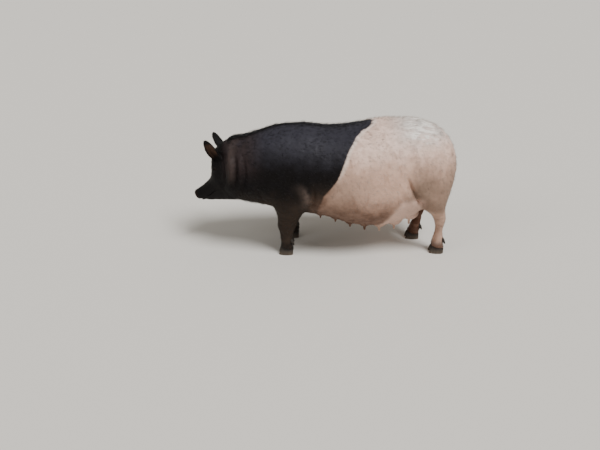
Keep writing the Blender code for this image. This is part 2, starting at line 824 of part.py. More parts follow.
def ear_sheets(root, lean, opening):
    """The inner and outer sheet of a cupped ear, as rows of points from its sunk root to its tip."""
    along = lean.normalized()
    face = (opening - along * along.dot(opening)).normalized()
    across = along.cross(face)
    start = -EAR_SUNK / EAR_LENGTH
    sheets = []
    for sign in (1, -1):
        sheet = []
        for i in range(EAR_ROWS + 1):
            place = start + (EAR_TIP_SHARE - start) * i / EAR_ROWS
            free = max(place, 0.0)
            width = EAR_HALF_WIDTH * leaf_width(free)
            curl = EAR_CURL * (1 - EAR_CURL_LOST * free)
            thickness = EAR_THICKNESS * (1 - EAR_TIP_THINNING * free)
            row = []
            for j in range(EAR_COLUMNS + 1):
                aside = 2 * j / EAR_COLUMNS - 1
                lift = sign * thickness / 2 * (1 - EAR_RIM_THINNING * abs(aside) ** EAR_RIM_POWER)
                depth = width * curl * aside**2 + EAR_BEND * free**2 + lift
                narrowed = width * aside * (1 - EAR_CURL_NARROWING * curl)
                row.append(root + along * (place * EAR_LENGTH) + across * narrowed + face * depth)
            sheet.append(row)
        sheets.append(sheet)
    return sheets


def leaf_solid(name, sheets, slot):
    """Closes two sheets of points into one leaf, split into triangles alike on both faces."""
    mesh = bmesh.new()
    inner, outer = [[[mesh.verts.new(point) for point in row] for row in sheet] for sheet in sheets]
    rows, columns = len(inner) - 1, len(inner[0]) - 1
    for sheet in (inner, outer):
        for i in range(rows):
            for j in range(columns):
                a, b = sheet[i][j], sheet[i][j + 1]
                c, d = sheet[i + 1][j + 1], sheet[i + 1][j]
                mesh.faces.new((a, b, c))
                mesh.faces.new((a, c, d))
    rim = [(i, 0) for i in range(rows)] + [(rows, j) for j in range(columns)]
    rim += [(i, columns) for i in range(rows, 0, -1)] + [(0, j) for j in range(columns, 0, -1)]
    for (i, j), (k, m) in zip(rim, rim[1:] + rim[:1]):
        mesh.faces.new((inner[i][j], inner[k][m], outer[k][m]))
        mesh.faces.new((inner[i][j], outer[k][m], outer[i][j]))
    bmesh.ops.recalc_face_normals(mesh, faces=mesh.faces)
    return add_object(name, mesh, slot)


def make_ears(head):
    """Both ears, cut clear of the head that they grow from."""
    matrix = head_matrix()
    turn = matrix.to_3x3()
    for name, ear in EARS.items():
        origin = matrix @ Vector((-EAR_AHEAD, ear.side * EAR_ASIDE, FAR))
        root, _ = surface(head, origin, turn @ Vector((0, 0, -1)))
        lean = turn @ Vector((-ear.forward, ear.side * ear.outward, 1.0))
        opening = turn @ Vector((-math.cos(ear.opens), ear.side * math.sin(ear.opens), 0))
        made = leaf_solid(name, ear_sheets(root, lean, opening), "dark_skin")
        combine(made, "DIFFERENCE", [swollen(head)])


def make_eyes(frames):
    """The eyeballs."""
    for name, side in (("eye_left", -1), ("eye_right", 1)):
        ellipsoid(name, (0, 0, 0), (EYE_RADIUS,) * 3, frames[side], EYE_RINGS, "eye")


def coronet_height(leg, x):
    """The height where a leg's claws begin, which falls from the toe to the heel."""
    stance = LEGS[leg]
    foot = stance.sections[-1]
    middle = (foot.front + foot.rear) / 2 + stride_at(stance, CLAW_HEIGHT)
    return CLAW_HEIGHT - CLAW_SLOPE * (x - middle)


def sole_outline(length, width, side):
    """The outline of a claw from its heel at x = 0: round behind, pointed at the toe, flatter inside."""
    points = []
    for c, s in oval(CLAW_SIDES, CLAW_POWER, CLAW_POWER):
        narrowing = 1 - CLAW_TOE_NARROWING * max(0.0, -c) ** CLAW_TOE_BLUNTNESS
        share = narrowing if s * side > 0 else (1 + narrowing) / 2
        points.append((length / 2 * (c - 1), width / 2 * share * s))
    return points


def make_claws(leg):
    """Two claws under a leg, with flat soles on the ground."""
    stance = LEGS[leg]
    foot = stance.sections[-1]
    rear = foot.rear + stride_at(stance, CLAW_HEIGHT)
    length = foot.rear - foot.front
    for label, side in (("inner", -stance.side), ("outer", stance.side)):
        middle = stance.side * foot.centre + side * (CLAW_WIDTH + CLAW_SPLIT) / 2
        rings = []
        for height, toe, size in CLAW_RINGS:
            ring = []
            for x, y in sole_outline(length + CLAW_TOE * toe, CLAW_WIDTH * size, side):
                top = coronet_height(leg, rear + x) - GAP * math.hypot(1, CLAW_SLOPE)
                ring.append((rear + x, middle + y, top * height))
            rings.append(ring)
        tube(f"claw_{leg[4:]}_{label}", rings, "claw_horn")


def peg(name, place, outward, profile, length, radius, slot=None):
    """A tapered peg that starts at a place and runs outward, by shares of its length and radius."""
    rings = []
    for along, size in profile:
        rings.append([(along * length, radius * size * c, radius * size * s) for c, s in oval(PEG_SIDES)])
    return tube(name, rings, slot, frame_of(place, outward, BACKWARD))


def make_dew_claws(leg, made):
    """Two dew claws behind a leg, cut clear of it."""
    stance = LEGS[leg]
    for label, side in (("inner", -stance.side), ("outer", stance.side)):
        aside = stance.side * stance.sections[-1].centre + side * DEW_SPREAD
        place, _ = surface(made, (FAR, aside, DEW_HEIGHT), (-1, 0, 0))
        down = (DEW_LEAN * Vector((1, side, 1))).normalized()
        root = place - down * DEW_SUNK
        name = f"dewclaw_{leg[4:]}_{label}"
        dew = peg(name, root, down, DEW_PROFILE, DEW_LENGTH + DEW_SUNK, DEW_RADIUS, "claw_horn")
        combine(dew, "DIFFERENCE", [swollen(made)])


def cut_cleft(leg, made):
    """Splits the toes above the claws."""
    middle = LEGS[leg].side * LEGS[leg].sections[-1].centre
    half = CLAW_SPLIT / 2
    low, high = CLAW_HEIGHT - CLEFT_OVERLAP, CLAW_HEIGHT + CLEFT_HEIGHT
    rings = [[(x, middle - half, low), (x, middle + half, low), (x, middle, high)] for x in (-FAR, FAR)]
    combine(made, "DIFFERENCE", [tube("cleft", rings)])


def finish_feet(legs):
    """Ends each leg on the slope of its claws, makes claws and dew claws, and splits the toes."""
    for leg, made in legs.items():
        below = []
        for y in (-FAR, FAR):
            corners = [(x, y, coronet_height(leg, x)) for x in (-FAR, FAR)]
            below.append([(-FAR, y, -FAR), *corners, (FAR, y, -FAR)])
        combine(made, "DIFFERENCE", [tube("below", below)])
        make_claws(leg)
        make_dew_claws(leg, made)
        cut_cleft(leg, made)


def add_teats(torso):
    """Sinks the teats into the belly in two rows."""
    teats = []
    for x, spread, length, _ in teat_places():
        for side in SIDES:
            place, _ = surface(torso, (x, side * spread, -FAR), (0, 0, 1))
            down = (TEAT_LEAN * Vector((1, side, 1))).normalized()
            root = place - down * TEAT_SUNK
            teats.append(peg("teat", root, down, TEAT_PROFILE, length + TEAT_SUNK, TEAT_RADIUS))
    combine(torso, "UNION", teats)


def tail_path(torso):
    """Points along the tail: out of the rump, over and down."""
    root, _ = surface(torso, (FAR, TAIL_ASIDE, TAIL_HEIGHT), (-1, 0, 0))
    corners = [
        root + Vector((-TAIL_SUNK, 0, TAIL_ARCH)),
        root + Vector((TAIL_REACH, 0, TAIL_ARCH)),
        root + Vector((TAIL_REACH, TAIL_SWING / 4, -TAIL_DROP / 2)),
        root + Vector((TAIL_REACH * TAIL_TUCK, TAIL_SWING, -TAIL_DROP)),
    ]
    points = []
    for i in range(TAIL_RINGS):
        t = i / (TAIL_RINGS - 1)
        weights = ((1 - t) ** 3, 3 * t * (1 - t) ** 2, 3 * t * t * (1 - t), t**3)
        points.append(sum((corner * weight for corner, weight in zip(corners, weights)), Vector()))
    return points


def path_rings(points, radii, flatness, sides):
    """Rings square to a path that keeps to one side, flattened from front to back by a share."""
    rings = []
    for i, (point, radius) in enumerate(zip(points, radii)):
        ahead = points[min(i + 1, len(points) - 1)] - points[max(i - 1, 0)]
        frame = frame_of(point, ahead, SIDEWAYS)
        rings.append([frame @ Vector((0, radius * flatness * c, radius * s)) for c, s in oval(sides)])
    return rings


def make_tail(torso):
    """The hanging tail, cut clear of the rump, and the tuft at its end."""
    points = tail_path(torso)
    radii = np.linspace(TAIL_RADIUS, TAIL_TIP_RADIUS, TAIL_RINGS)
    tail = tube("tail", path_rings(points, radii, TAIL_FLATNESS, TAIL_SIDES), "pale_skin")
    combine(tail, "DIFFERENCE", [swollen(torso)])
    along = (points[-1] - points[-2]).normalized()
    make_tuft(points[-1] + along * GAP, along)


def make_tuft(start, along):
    """Flat tapered locks that fan out from a short core and overlap."""
    core = [start + along * reach for reach, _ in TUFT_CORE]
    radii = [radius for _, radius in TUFT_CORE]
    tuft = tube("tail_tuft", path_rings(core, radii, TAIL_FLATNESS, TUFT_CORE_SIDES), "bristle")
    locks = []
    for i in range(TUFT_LOCKS):
        angle = 2 * math.pi * i * TUFT_TURN
        share = (i + 0.5) / TUFT_LOCKS
        splay = TUFT_SPLAY * (TUFT_SPLAY_INSIDE + (1 - TUFT_SPLAY_INSIDE) * share)
        out = Vector((math.cos(angle), math.sin(angle), 0)) * splay
        length = TUFT_LENGTH * (1 - TUFT_SHORTENING * share)
        sunk = TUFT_ROOTS[1] + (TUFT_ROOTS[0] - TUFT_ROOTS[1]) * share
        root = start + along * sunk + out * TUFT_ROOT_SPREAD
        spine = [root + along * length * t + out * t**TUFT_CURVE for t, _ in LOCK_PROFILE]
        widths = [radius for _, radius in LOCK_PROFILE]
        locks.append(tube("lock", path_rings(spine, widths, LOCK_FLATNESS, LOCK_SIDES)))
    combine(tuft, "UNION", locks)


def shade(made):
    """Smooth shading, with hard edges only where faces turn sharply."""
    made.data.shade_smooth()
    made.data.set_sharp_from_angle(angle=SHARP_ANGLE)


def stand_over_origin(parts):
    """Slides everything along the floor until the middle of its box is over the origin."""
    corners = np.array([vert.co for made in parts for vert in made.data.vertices])
    middle = (corners.min(0) + corners.max(0)) / 2
    slide = Matrix.Translation((-middle[0], -middle[1], 0))
    for made in parts:
        made.data.transform(slide)


def build():
    for existing in list(bpy.data.objects):
        bpy.data.objects.remove(existing)
    torso, head, legs = part_body(body_skin())
    frames = eye_frames(head)
    shape_lids(head, frames)
    shape_mouth(head)
    make_eyes(frames)
    make_ears(head)
    make_snout()
    finish_feet(legs)
    make_tail(torso)
    add_teats(torso)
    parts = list(bpy.context.scene.collection.objects)
    stand_over_origin(parts)
    for made in parts:
        shade(made)


build()
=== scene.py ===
"""The looks of a life-size domestic sow: one skin, eyes, claws, bristles and a plain studio.

Metres, +Z up. She faces -X and her left side is towards -Y and the camera.
"""

import math
from collections import namedtuple
from contextlib import contextmanager

import bmesh
import bpy
import numpy as np
from mathutils import Euler, Matrix, Vector
from mathutils.bvhtree import BVHTree


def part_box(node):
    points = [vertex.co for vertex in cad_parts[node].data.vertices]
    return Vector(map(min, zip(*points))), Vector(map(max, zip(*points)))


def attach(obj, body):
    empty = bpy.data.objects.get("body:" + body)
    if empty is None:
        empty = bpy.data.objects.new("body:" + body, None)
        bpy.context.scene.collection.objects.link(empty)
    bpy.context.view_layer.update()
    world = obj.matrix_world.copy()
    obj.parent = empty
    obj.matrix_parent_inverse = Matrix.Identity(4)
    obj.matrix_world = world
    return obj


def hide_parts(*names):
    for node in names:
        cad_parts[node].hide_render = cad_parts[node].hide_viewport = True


bl_info = {
    "name": "Life-Size Sow",
    "version": (1, 0, 0),
    "blender": (4, 5, 0),
    "location": "View3D > Sidebar > Sow",
    "description": "Dresses the solids of a standing sow in skin, bristles, eyes and claws",
    "category": "Add Mesh",
}

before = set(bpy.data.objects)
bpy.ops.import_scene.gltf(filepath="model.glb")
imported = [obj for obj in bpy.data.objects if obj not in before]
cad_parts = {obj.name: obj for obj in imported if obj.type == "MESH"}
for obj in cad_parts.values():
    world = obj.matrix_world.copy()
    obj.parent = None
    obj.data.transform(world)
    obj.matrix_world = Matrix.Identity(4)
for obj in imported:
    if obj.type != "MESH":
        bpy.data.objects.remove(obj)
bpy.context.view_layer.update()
BOXES = {node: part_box(node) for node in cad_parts}

BODY = "root"
SIDES = {"left": -1, "right": 1}
FEET = ("fore_left", "fore_right", "hind_left", "hind_right")
LEG_NODES = tuple("leg_" + foot for foot in FEET)
EAR_NODES = ("ear_left", "ear_right")
FLESH_NODES = ("torso", "neck", "head", "snout", "tail") + EAR_NODES + LEG_NODES
# Further than anything on her, where a search starts
FAR = 2.0


def middle_of(node):
    """The middle of a CAD node's box."""
    low, high = BOXES[node]
    return (low + high) / 2


# The head's own frame looks along -X before it turns aside and dips; the eyes give its origin
HEAD_TURN = math.radians(10)
HEAD_DIP = math.radians(26)
HEAD_AXES = Matrix.Rotation(-HEAD_TURN, 3, "Z") @ Matrix.Rotation(-HEAD_DIP, 3, "Y")
HEAD_BACK = HEAD_AXES @ Vector((1, 0, 0))
HEAD_UP = HEAD_AXES @ Vector((0, 0, 1))
EYES = {side: middle_of("eye_" + side) for side in SIDES}
EYE_AHEAD = 0.0517
EYE_UP = 0.0982
EYE_OUTWARD = Vector((-0.344, 0.889, 0.304))
HEAD_CENTRE = (EYES["left"] + EYES["right"]) / 2 - HEAD_AXES @ Vector((-EYE_AHEAD, 0, EYE_UP))


def linear(text):
    """An sRGB hex colour as linear red, green and blue."""
    shares = [int(text[i : i + 2], 16) / 255 for i in (1, 3, 5)]
    return [c / 12.92 if c <= 0.04045 else ((c + 0.055) / 1.055) ** 2.4 for c in shares]


def colour_of(name, text, description):
    """A colour that a user may change."""
    return bpy.props.FloatVectorProperty(
        name=name, description=description, default=linear(text), subtype="COLOR", min=0, max=1
    )


def length_of(name, metres, description):
    """A length that a user may change."""
    return bpy.props.FloatProperty(
        name=name, description=description, default=metres, min=0, subtype="DISTANCE", unit="LENGTH"
    )


def number_of(name, value, description, **more):
    """A number that a user may change."""
    return bpy.props.FloatProperty(name=name, description=description, default=value, **more)


class SowSkinSettings(bpy.types.PropertyGroup):
    """Sizes and colours of the skin"""

    net: length_of("Net", 0.0022, "Spacing of the net that the flesh is melted into")
    triangles: bpy.props.IntProperty(
        name="Triangles", description="Triangles left in the skin before the face is refined", default=300000
    )
    fold_depth: length_of("Fold depth", 0.0070, "Depth of the deepest folds of the neck")
    dark: colour_of("Dark skin", "#0d0a0a", "Near-black skin of the front half")
    dark_top: colour_of("Dark skin above", "#292830", "Bluish shine of the coat on the dark back")
    dark_neck: colour_of("Dark neck", "#2a2121", "Brownish shine of the coat on the neck")
    pale: colour_of("Pale skin", "#cba692", "Grey-pink skin of the rear half")
    # Painted light: the rear half is lighter and pinker high up, where light falls from above
    pale_lit: colour_of("Pale skin above", "#eaccbe", "Lighter, pinker skin of the rear half, high up")
    dusty: colour_of("Dusty skin", "#c0beba", "Grey dust on the rump")
    # Painted shade: hams, front flank and underside darker, as in shade; a darker share of it is also the
    # brown of mud on the dark skin
    shade_and_mud: colour_of("Shaded ham", "#756152", "Brown-grey skin of the hams, low down")
    # Whitish along the edge of the dark half; the streaks on the rump are painted highlights
    whitish_edge_and_highlight: colour_of("Chalky skin", "#ece6de", "Whitish streaks on the rump and along the edge")
    # Mud, and also painted shade low on the belly and the painted shadow of the body on the far hind leg
    mud: colour_of("Mud_and_shade", "#4d2f1e", "Dried mud on belly, elbow and feet")
    udder: colour_of("Udder", "#dcb9a9", "Pink skin of udder and teats")
    ear_lining: colour_of("Ear lining", "#4f392e", "Thin skin inside the ears")
    snout: colour_of("Snout", "#1c1312", "Bare moist skin of the snout disc")


class SowCoatSettings(bpy.types.PropertyGroup):
    """Sizes and colours of the bristles"""

    body_length: length_of("Body bristles", 0.016, "Length of the bristles on trunk and neck")
    crest_length: length_of("Crest bristles", 0.030, "Length of the bristles along the crest of the neck")
    radius: length_of("Bristle radius", 0.00024, "Radius of a bristle at its root")
    seed: bpy.props.IntProperty(name="Seed", description="Seed of every random draw", default=11)
    dark: colour_of("Dark bristle", "#100e0f", "Bristles of the front half")
    pale: colour_of("Pale bristle", "#c9beb4", "Bristles of the rear half")


class SowDetailSettings(bpy.types.PropertyGroup):
    """Colours of eyes and claws"""

    iris: colour_of("Iris", "#3a2415", "Brown iris")
    pupil: colour_of("Pupil", "#070707", "Black of the pupil")
    eye_white: colour_of("White of the eye", "#6d584b", "What shows of the white of the eye")
    horn: colour_of("Claw horn", "#2c2621", "Grey-brown horn")
    horn_edge: colour_of("Worn horn", "#6e6154", "Horn worn pale near the ground")


class SowStageSettings(bpy.types.PropertyGroup):
    """Floor, light and camera"""

    floor: colour_of("Floor", "#d8d4cd", "Plain pale floor")
    camera_place: bpy.props.FloatVectorProperty(
        name="Camera", description="Place of the camera", default=(-0.1161, -2.80, 1.35), subtype="XYZ"
    )
    camera_tilt: number_of(
        "Camera tilt", math.radians(24), "How far the camera looks down", subtype="ANGLE", unit="ROTATION"
    )
    lens: number_of("Lens", 37.26, "Focal length in millimetres")
    key_strength: number_of("Key light", 3.65, "Strength of the soft light from above and in front")
    fill_strength: number_of("Fill light", 0.45, "Strength of the soft light from the head's side")
    room_strength: number_of("Room light", 0.57, "Strength of the even light of the room")


# Meshes


def read(items, name, width, kind):
    """A value of every corner, edge or triangle of a mesh, one row for each."""
    flat = np.empty(len(items) * width, kind)
    items.foreach_get(name, flat)
    return flat.reshape(-1, width)


def points_of(mesh):
    """The corners of a mesh."""
    return read(mesh.vertices, "co", 3, np.float32).astype(float)


def normals_of(mesh):
    """The outward normals at the corners of a mesh."""
    return read(mesh.vertex_normals, "vector", 3, np.float32).astype(float)


def move_points(mesh, points):
    """Puts the corners of a mesh at new places."""
    mesh.vertices.foreach_set("co", np.asarray(points, np.float32).ravel())
    mesh.update()


@contextmanager
def edited(data):
    """Opens a mesh for editing, and writes it back at the end."""
    mesh = bmesh.new()
    mesh.from_mesh(data)
    yield mesh
    mesh.to_mesh(data)
    mesh.free()


def smooth_step(values, low, high):
    """0 below low, 1 above high and a soft rise between; high may be the lower of the two."""
    share = np.clip((np.asarray(values, float) - low) / (high - low), 0, 1)
    return share * share * (3 - 2 * share)


def eased(values, low, high, first, last):
    """A soft passage from a first to a last value."""
    return first + (last - first) * smooth_step(values, low, high)


def hill(values, width):
    """A bell that is 1 at 0."""
    return np.exp(-((np.asarray(values) / width) ** 2))


NOISE_CELLS = 32


def soft_noise(points, size, seed):
    """Smooth noise from -1 to 1 with lumps of about that size."""
    lattice = np.random.default_rng(seed).random((NOISE_CELLS,) * 3) * 2 - 1
    # The shift keeps all of her on one side of 0
    scaled = np.asarray(points) / size + 1000.0
    low = np.floor(scaled).astype(int)
    share = scaled - low
    share = share * share * (3 - 2 * share)
    total = np.zeros(len(scaled))
    for corner in np.ndindex(2, 2, 2):
        cell = (low + corner) % NOISE_CELLS
        weight = np.prod(np.where(corner, share, 1 - share), axis=1)
        total += lattice[cell[:, 0], cell[:, 1], cell[:, 2]] * weight
    return total


def relax(mesh, strength, rounds):
    """The corners of a mesh, each moved towards the mean of its neighbours by its own strength."""
    points = points_of(mesh)
    edges = read(mesh.edges, "vertices", 2, np.int32)
    ends = np.concatenate([edges, edges[:, ::-1]])
    count = np.maximum(np.bincount(ends[:, 0], minlength=len(points)), 1)
    for _ in range(rounds):
        sums = [np.bincount(ends[:, 0], points[ends[:, 1], k], len(points)) for k in range(3)]
        points = points + (np.stack(sums, 1) / count[:, None] - points) * strength[:, None]
    return points


def new_object(name, mesh):
    """An object of a mesh, linked to the scene."""
    made = bpy.data.objects.new(name, mesh)
    bpy.context.scene.collection.objects.link(made)
    return made


def dress(made, material, slot, *nodes):
    """Gives a piece its material and its body, and hides the CAD nodes that it stands for; its slot is not
    used.
    """
    made.data.materials.append(material)
    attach(made, BODY)
    if nodes:
        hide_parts(*nodes)


def modify(made, kind, **settings):
    """Replaces an object's mesh by what a modifier makes of it."""
    modifier = made.modifiers.new(kind.lower(), kind)
    for key, value in settings.items():
        setattr(modifier, key, value)
    bpy.context.view_layer.update()
    mesh = bpy.data.meshes.new_from_object(made.evaluated_get(bpy.context.evaluated_depsgraph_get()))
    made.modifiers.clear()
    old = made.data
    made.data = mesh
    bpy.data.meshes.remove(old)


def thin_out(made, triangles):
    """Collapses edges until about so many triangles are left, fewest where the surface is flat."""
    made.data.calc_loop_triangles()
    modify(made, "DECIMATE", ratio=min(1.0, triangles / len(made.data.loop_triangles)))


def mesh_of_triangles(name, points, triangles, texture_points=None):
    """A mesh from arrays, with a map of one texture point for each corner if they are given."""
    mesh = bpy.data.meshes.new(name)
    mesh.vertices.add(len(points))
    mesh.vertices.foreach_set("co", np.asarray(points, np.float32).ravel())
    corners = np.asarray(triangles, np.int32).ravel()
    mesh.loops.add(len(corners))
    mesh.loops.foreach_set("vertex_index", corners)
    mesh.polygons.add(len(triangles))
    mesh.polygons.foreach_set("loop_start", np.arange(0, len(corners), 3, dtype=np.int32))
    if texture_points is not None:
        layer = mesh.uv_layers.new(name="OFBake")
        layer.data.foreach_set("uv", np.asarray(texture_points, np.float32)[corners].ravel())
    mesh.update(calc_edges=True)
    mesh.validate()
    mesh.shade_smooth()
    return mesh


# Corners of a solid nearer to each other than this are one
WELD = 0.00001


def add_solid(mesh, node, swell):
    """Adds a CAD node's solid to a mesh, welded and swollen."""
    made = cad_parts[node].data.copy()
    with edited(made) as part:
        bmesh.ops.remove_doubles(part, verts=part.verts, dist=WELD)
        part.normal_update()
        places = [vert.co + vert.normal * swell for vert in part.verts]
        for vert, place in zip(part.verts, places):
            vert.co = place
    mesh.from_mesh(made)
    bpy.data.meshes.remove(made)


def melted(name, swells, net):
    """Swollen solids melted into one closed net of even quads, and a search tree of the solids themselves."""
    data = bpy.data.meshes.new(name)
    with edited(data) as joined:
        for node, swell in swells.items():
            add_solid(joined, node, swell)
        tree = BVHTree.FromBMesh(joined)
    made = new_object(name, data)
    modify(made, "REMESH", mode="VOXEL", voxel_size=net)
    keep_largest(made)
    return made, tree


def keep_largest(made):
    """Drops every loose surface of an object but the one with the most corners."""
    first, second = read(made.data.edges, "vertices", 2, np.int32).T
    label = np.arange(len(made.data.vertices))
    before = None
    while before is None or not np.array_equal(before, label):
        before = label.copy()
        low = np.minimum(label[first], label[second])
        np.minimum.at(label, first, low)
        np.minimum.at(label, second, low)
        label = label[label]
    values, counts = np.unique(label, return_counts=True)
    scraps = np.flatnonzero(label != values[counts.argmax()])
    if len(scraps):
        with edited(made.data) as mesh:
            mesh.verts.ensure_lookup_table()
            bmesh.ops.delete(mesh, geom=[mesh.verts[i] for i in scraps], context="VERTS")


def surface_tree(node):
    """A search tree of a CAD node's faces."""
    mesh = bmesh.new()
    mesh.from_mesh(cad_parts[node].data)
    tree = BVHTree.FromBMesh(mesh)
    mesh.free()
    return tree


def in_frame(points, matrix):
    """Points in the frame of a matrix."""
    back = np.array(matrix.inverted())
    return np.asarray(points) @ back[:3, :3].T + back[:3, 3]


def in_head(points):
    """Points in the head's own frame, as how far ahead, aside and up they lie."""
    local = (np.asarray(points) - np.array(HEAD_CENTRE)) @ np.array(HEAD_AXES)
    return -local[:, 0], local[:, 1], local[:, 2]


def near_box(points, node, margin):
    """Which points lie in a CAD node's box, widened by a margin."""
    low, high = BOXES[node]
    return np.all((points > np.array(low) - margin) & (points < np.array(high) + margin), axis=1)


def eye_distance(points):
    """How far points lie from the middle of the nearer eyeball."""
    return np.minimum(*(np.linalg.norm(points - np.array(EYES[side]), axis=1) for side in SIDES))


def eye_frame(side):
    """A matrix at the middle of an eyeball whose +X looks out and whose +Z leans up the head."""
    x = (HEAD_AXES @ (EYE_OUTWARD * Vector((1, SIDES[side], 1)))).normalized()
    y = HEAD_UP.cross(x).normalized()
    axes = Matrix((x, y, x.cross(y))).transposed().to_4x4()
    return Matrix.Translation(EYES[side]) @ axes


# Skin

# How far each solid swells to close the cuts between them
SWELLS = dict.fromkeys(FLESH_NODES, 0.0005)
SWELLS |= dict.fromkeys(EAR_NODES, 0.0009)
SWELLS |= {"eye_" + side: 0.0006 for side in SIDES}
# How strongly the net is relaxed
RELAX_ROUNDS = 64
RELAX_TRUNK = 0.85
RELAX_HEAD = 0.12
RELAX_MUZZLE = 0.05
RELAX_LEGS = 0.14
RELAX_FEET = 0.06
RELAX_EARS = 0.04
RELAX_TAIL = 0.05
RELAX_LIDS = (0.03, 0.93)
RELAX_TEATS = 0.05
# What is left out at the root of an ear and of the tail
EAR_ROOT = 0.030
TAIL_ROOT = 0.008
# The teats: how far back and how far aside the first and the last pair stand
TEAT_PAIRS = 7
TEAT_BACK = (-0.030, 0.400)
TEAT_ASIDE = (0.062, 0.034)
TEAT_REACH = 0.018
TEAT_BOTTOM = 0.080
TEAT_TOP = 0.230
# The lowest place of the skin, just above the soles of the claws
SKIN_BOTTOM = 0.004
# Where the net is split finer: ahead, aside and up on the muzzle, and round the eyes
MUZZLE_AHEAD = (0.06, 0.225)
MUZZLE_ASIDE = 0.07
MUZZLE_UP = 0.045
EYE_FINE = 0.034
EYE_FINEST = 0.022

# A groove or ridge: the stations of its line, its width and its height as a share of the deepest
Fold = namedtuple("Fold", "stations width height")

# Folds of neck, flank and legs from the side: how far back and how high; each fades out at both ends
SIDE_FOLDS = (
    Fold(((-0.482, 0.505), (-0.473, 0.462), (-0.466, 0.424), (-0.464, 0.381), (-0.476, 0.330)), 0.012, -1.6),
    Fold(((-0.448, 0.525), (-0.437, 0.481), (-0.431, 0.446), (-0.431, 0.405), (-0.443, 0.355)), 0.014, 1.4),
    Fold(((-0.420, 0.525), (-0.412, 0.480), (-0.408, 0.440), (-0.410, 0.395), (-0.424, 0.340)), 0.010, -1.2),
    Fold(((-0.400, 0.520), (-0.391, 0.480), (-0.387, 0.440), (-0.389, 0.390), (-0.404, 0.335)), 0.012, 0.8),
    Fold(((-0.378, 0.510), (-0.368, 0.470), (-0.364, 0.430), (-0.368, 0.380), (-0.384, 0.330)), 0.009, -0.9),
    Fold(((-0.345, 0.490), (-0.334, 0.450), (-0.331, 0.410), (-0.338, 0.350)), 0.015, -0.45),
    Fold(((0.352, 0.445), (0.366, 0.410), (0.381, 0.378), (0.394, 0.352), (0.412, 0.322), (0.430, 0.291),
          (0.450, 0.260)), 0.0075, -2.0),
    Fold(((0.328, 0.410), (0.342, 0.384), (0.358, 0.356), (0.374, 0.330), (0.392, 0.302), (0.408, 0.276)),
         0.017, 1.0),
    Fold(((0.390, 0.450), (0.404, 0.416), (0.418, 0.386), (0.432, 0.356), (0.446, 0.326), (0.458, 0.296)),
         0.020, 1.1),
    Fold(((0.470, 0.430), (0.478, 0.390), (0.492, 0.350), (0.506, 0.310)), 0.030, -0.6),
    Fold(((-0.066, 0.385), (-0.056, 0.350), (-0.055, 0.318), (-0.064, 0.286), (-0.082, 0.256)), 0.010, -1.5),
    Fold(((-0.112, 0.392), (-0.094, 0.358), (-0.084, 0.322), (-0.088, 0.284)), 0.020, 1.1),
    Fold(((-0.180, 0.420), (-0.165, 0.380), (-0.158, 0.340), (-0.160, 0.300)), 0.024, -0.7),
    Fold(((-0.312, 0.380), (-0.300, 0.335), (-0.294, 0.295), (-0.276, 0.250)), 0.015, -1.0),
    Fold(((-0.262, 0.400), (-0.252, 0.350), (-0.246, 0.300)), 0.026, 0.8),
    Fold(((0.540, 0.520), (0.560, 0.480), (0.572, 0.430), (0.566, 0.370)), 0.016, -0.3),
    Fold(((-0.255, 0.195), (-0.205, 0.186), (-0.150, 0.190)), 0.006, -0.35),
    Fold(((-0.250, 0.172), (-0.205, 0.165), (-0.150, 0.170)), 0.005, -0.3),
    Fold(((0.505, 0.215), (0.535, 0.200), (0.572, 0.212)), 0.006, -0.35),
    Fold(((0.512, 0.190), (0.540, 0.180), (0.572, 0.190)), 0.005, -0.25),
)
# Folds of the rear, from behind: how far aside and how high
REAR_FOLDS = (
    Fold(((0.004, 0.500), (0.000, 0.440), (0.000, 0.380), (0.000, 0.310), (0.000, 0.240)), 0.014, -2.6),
    Fold(((0.034, 0.470), (0.042, 0.410), (0.044, 0.350), (0.036, 0.290)), 0.022, 1.1),
    Fold(((-0.034, 0.470), (-0.042, 0.410), (-0.044, 0.350), (-0.036, 0.290)), 0.022, 1.1),
    Fold(((-0.060, 0.500), (-0.024, 0.482), (0.010, 0.478)), 0.009, -0.7),
    Fold(((0.060, 0.505), (0.024, 0.486), (-0.010, 0.480)), 0.009, -0.7),
    Fold(((0.090, 0.345), (0.070, 0.300), (0.062, 0.260)), 0.012, -0.6),
    Fold(((-0.090, 0.345), (-0.070, 0.300), (-0.062, 0.260)), 0.012, -0.6),
)
FOLD_POINTS = 24
FOLD_RISE = 0.40
FOLD_FALL = 0.82
# Rings round the legs: their heights from the floor, their widths and how far they stand out
LEG_RINGS = {
    "fore": ((0.152, 0.022, 0.0024), (0.112, 0.018, -0.0022), (0.076, 0.011, 0.0016)),
    "hind": ((0.176, 0.022, 0.0022), (0.118, 0.024, -0.0022), (0.076, 0.011, 0.0016)),
}
# The groove between bone and tendon: how far behind the leg's middle, its size, and where it begins and ends
TENDON_BEHIND = 0.011
TENDON_WIDTH = 0.0050
TENDON_DEPTH = 0.0028
TENDON_LOW = (0.082, 0.100)
TENDON_HIGH = (0.250, 0.205)
LEG_TOP = 0.25
LEG_ROW = 0.010
# How much wider, or narrower, than a node's box the skin counts as that node's
BOX_MARGIN = 0.004
# Folds across the top of the face: how far ahead, and how far aside they reach
FACE_FOLDS = (
    Fold((0.084, 0.046), 0.0050, -0.60),
    Fold((0.099, 0.044), 0.0045, -0.75),
    Fold((0.115, 0.040), 0.0040, -0.55),
    Fold((0.131, 0.036), 0.0035, -0.45),
    Fold((0.147, 0.034), 0.0035, -0.40),
    Fold((0.164, 0.032), 0.0030, -0.35),
    Fold((0.180, 0.031), 0.0030, -0.35),
    Fold((0.194, 0.030), 0.0028, -0.30),
)
FACE_FOLD_DEPTH = 0.42
FACE_FOLD_BOW = 0.010
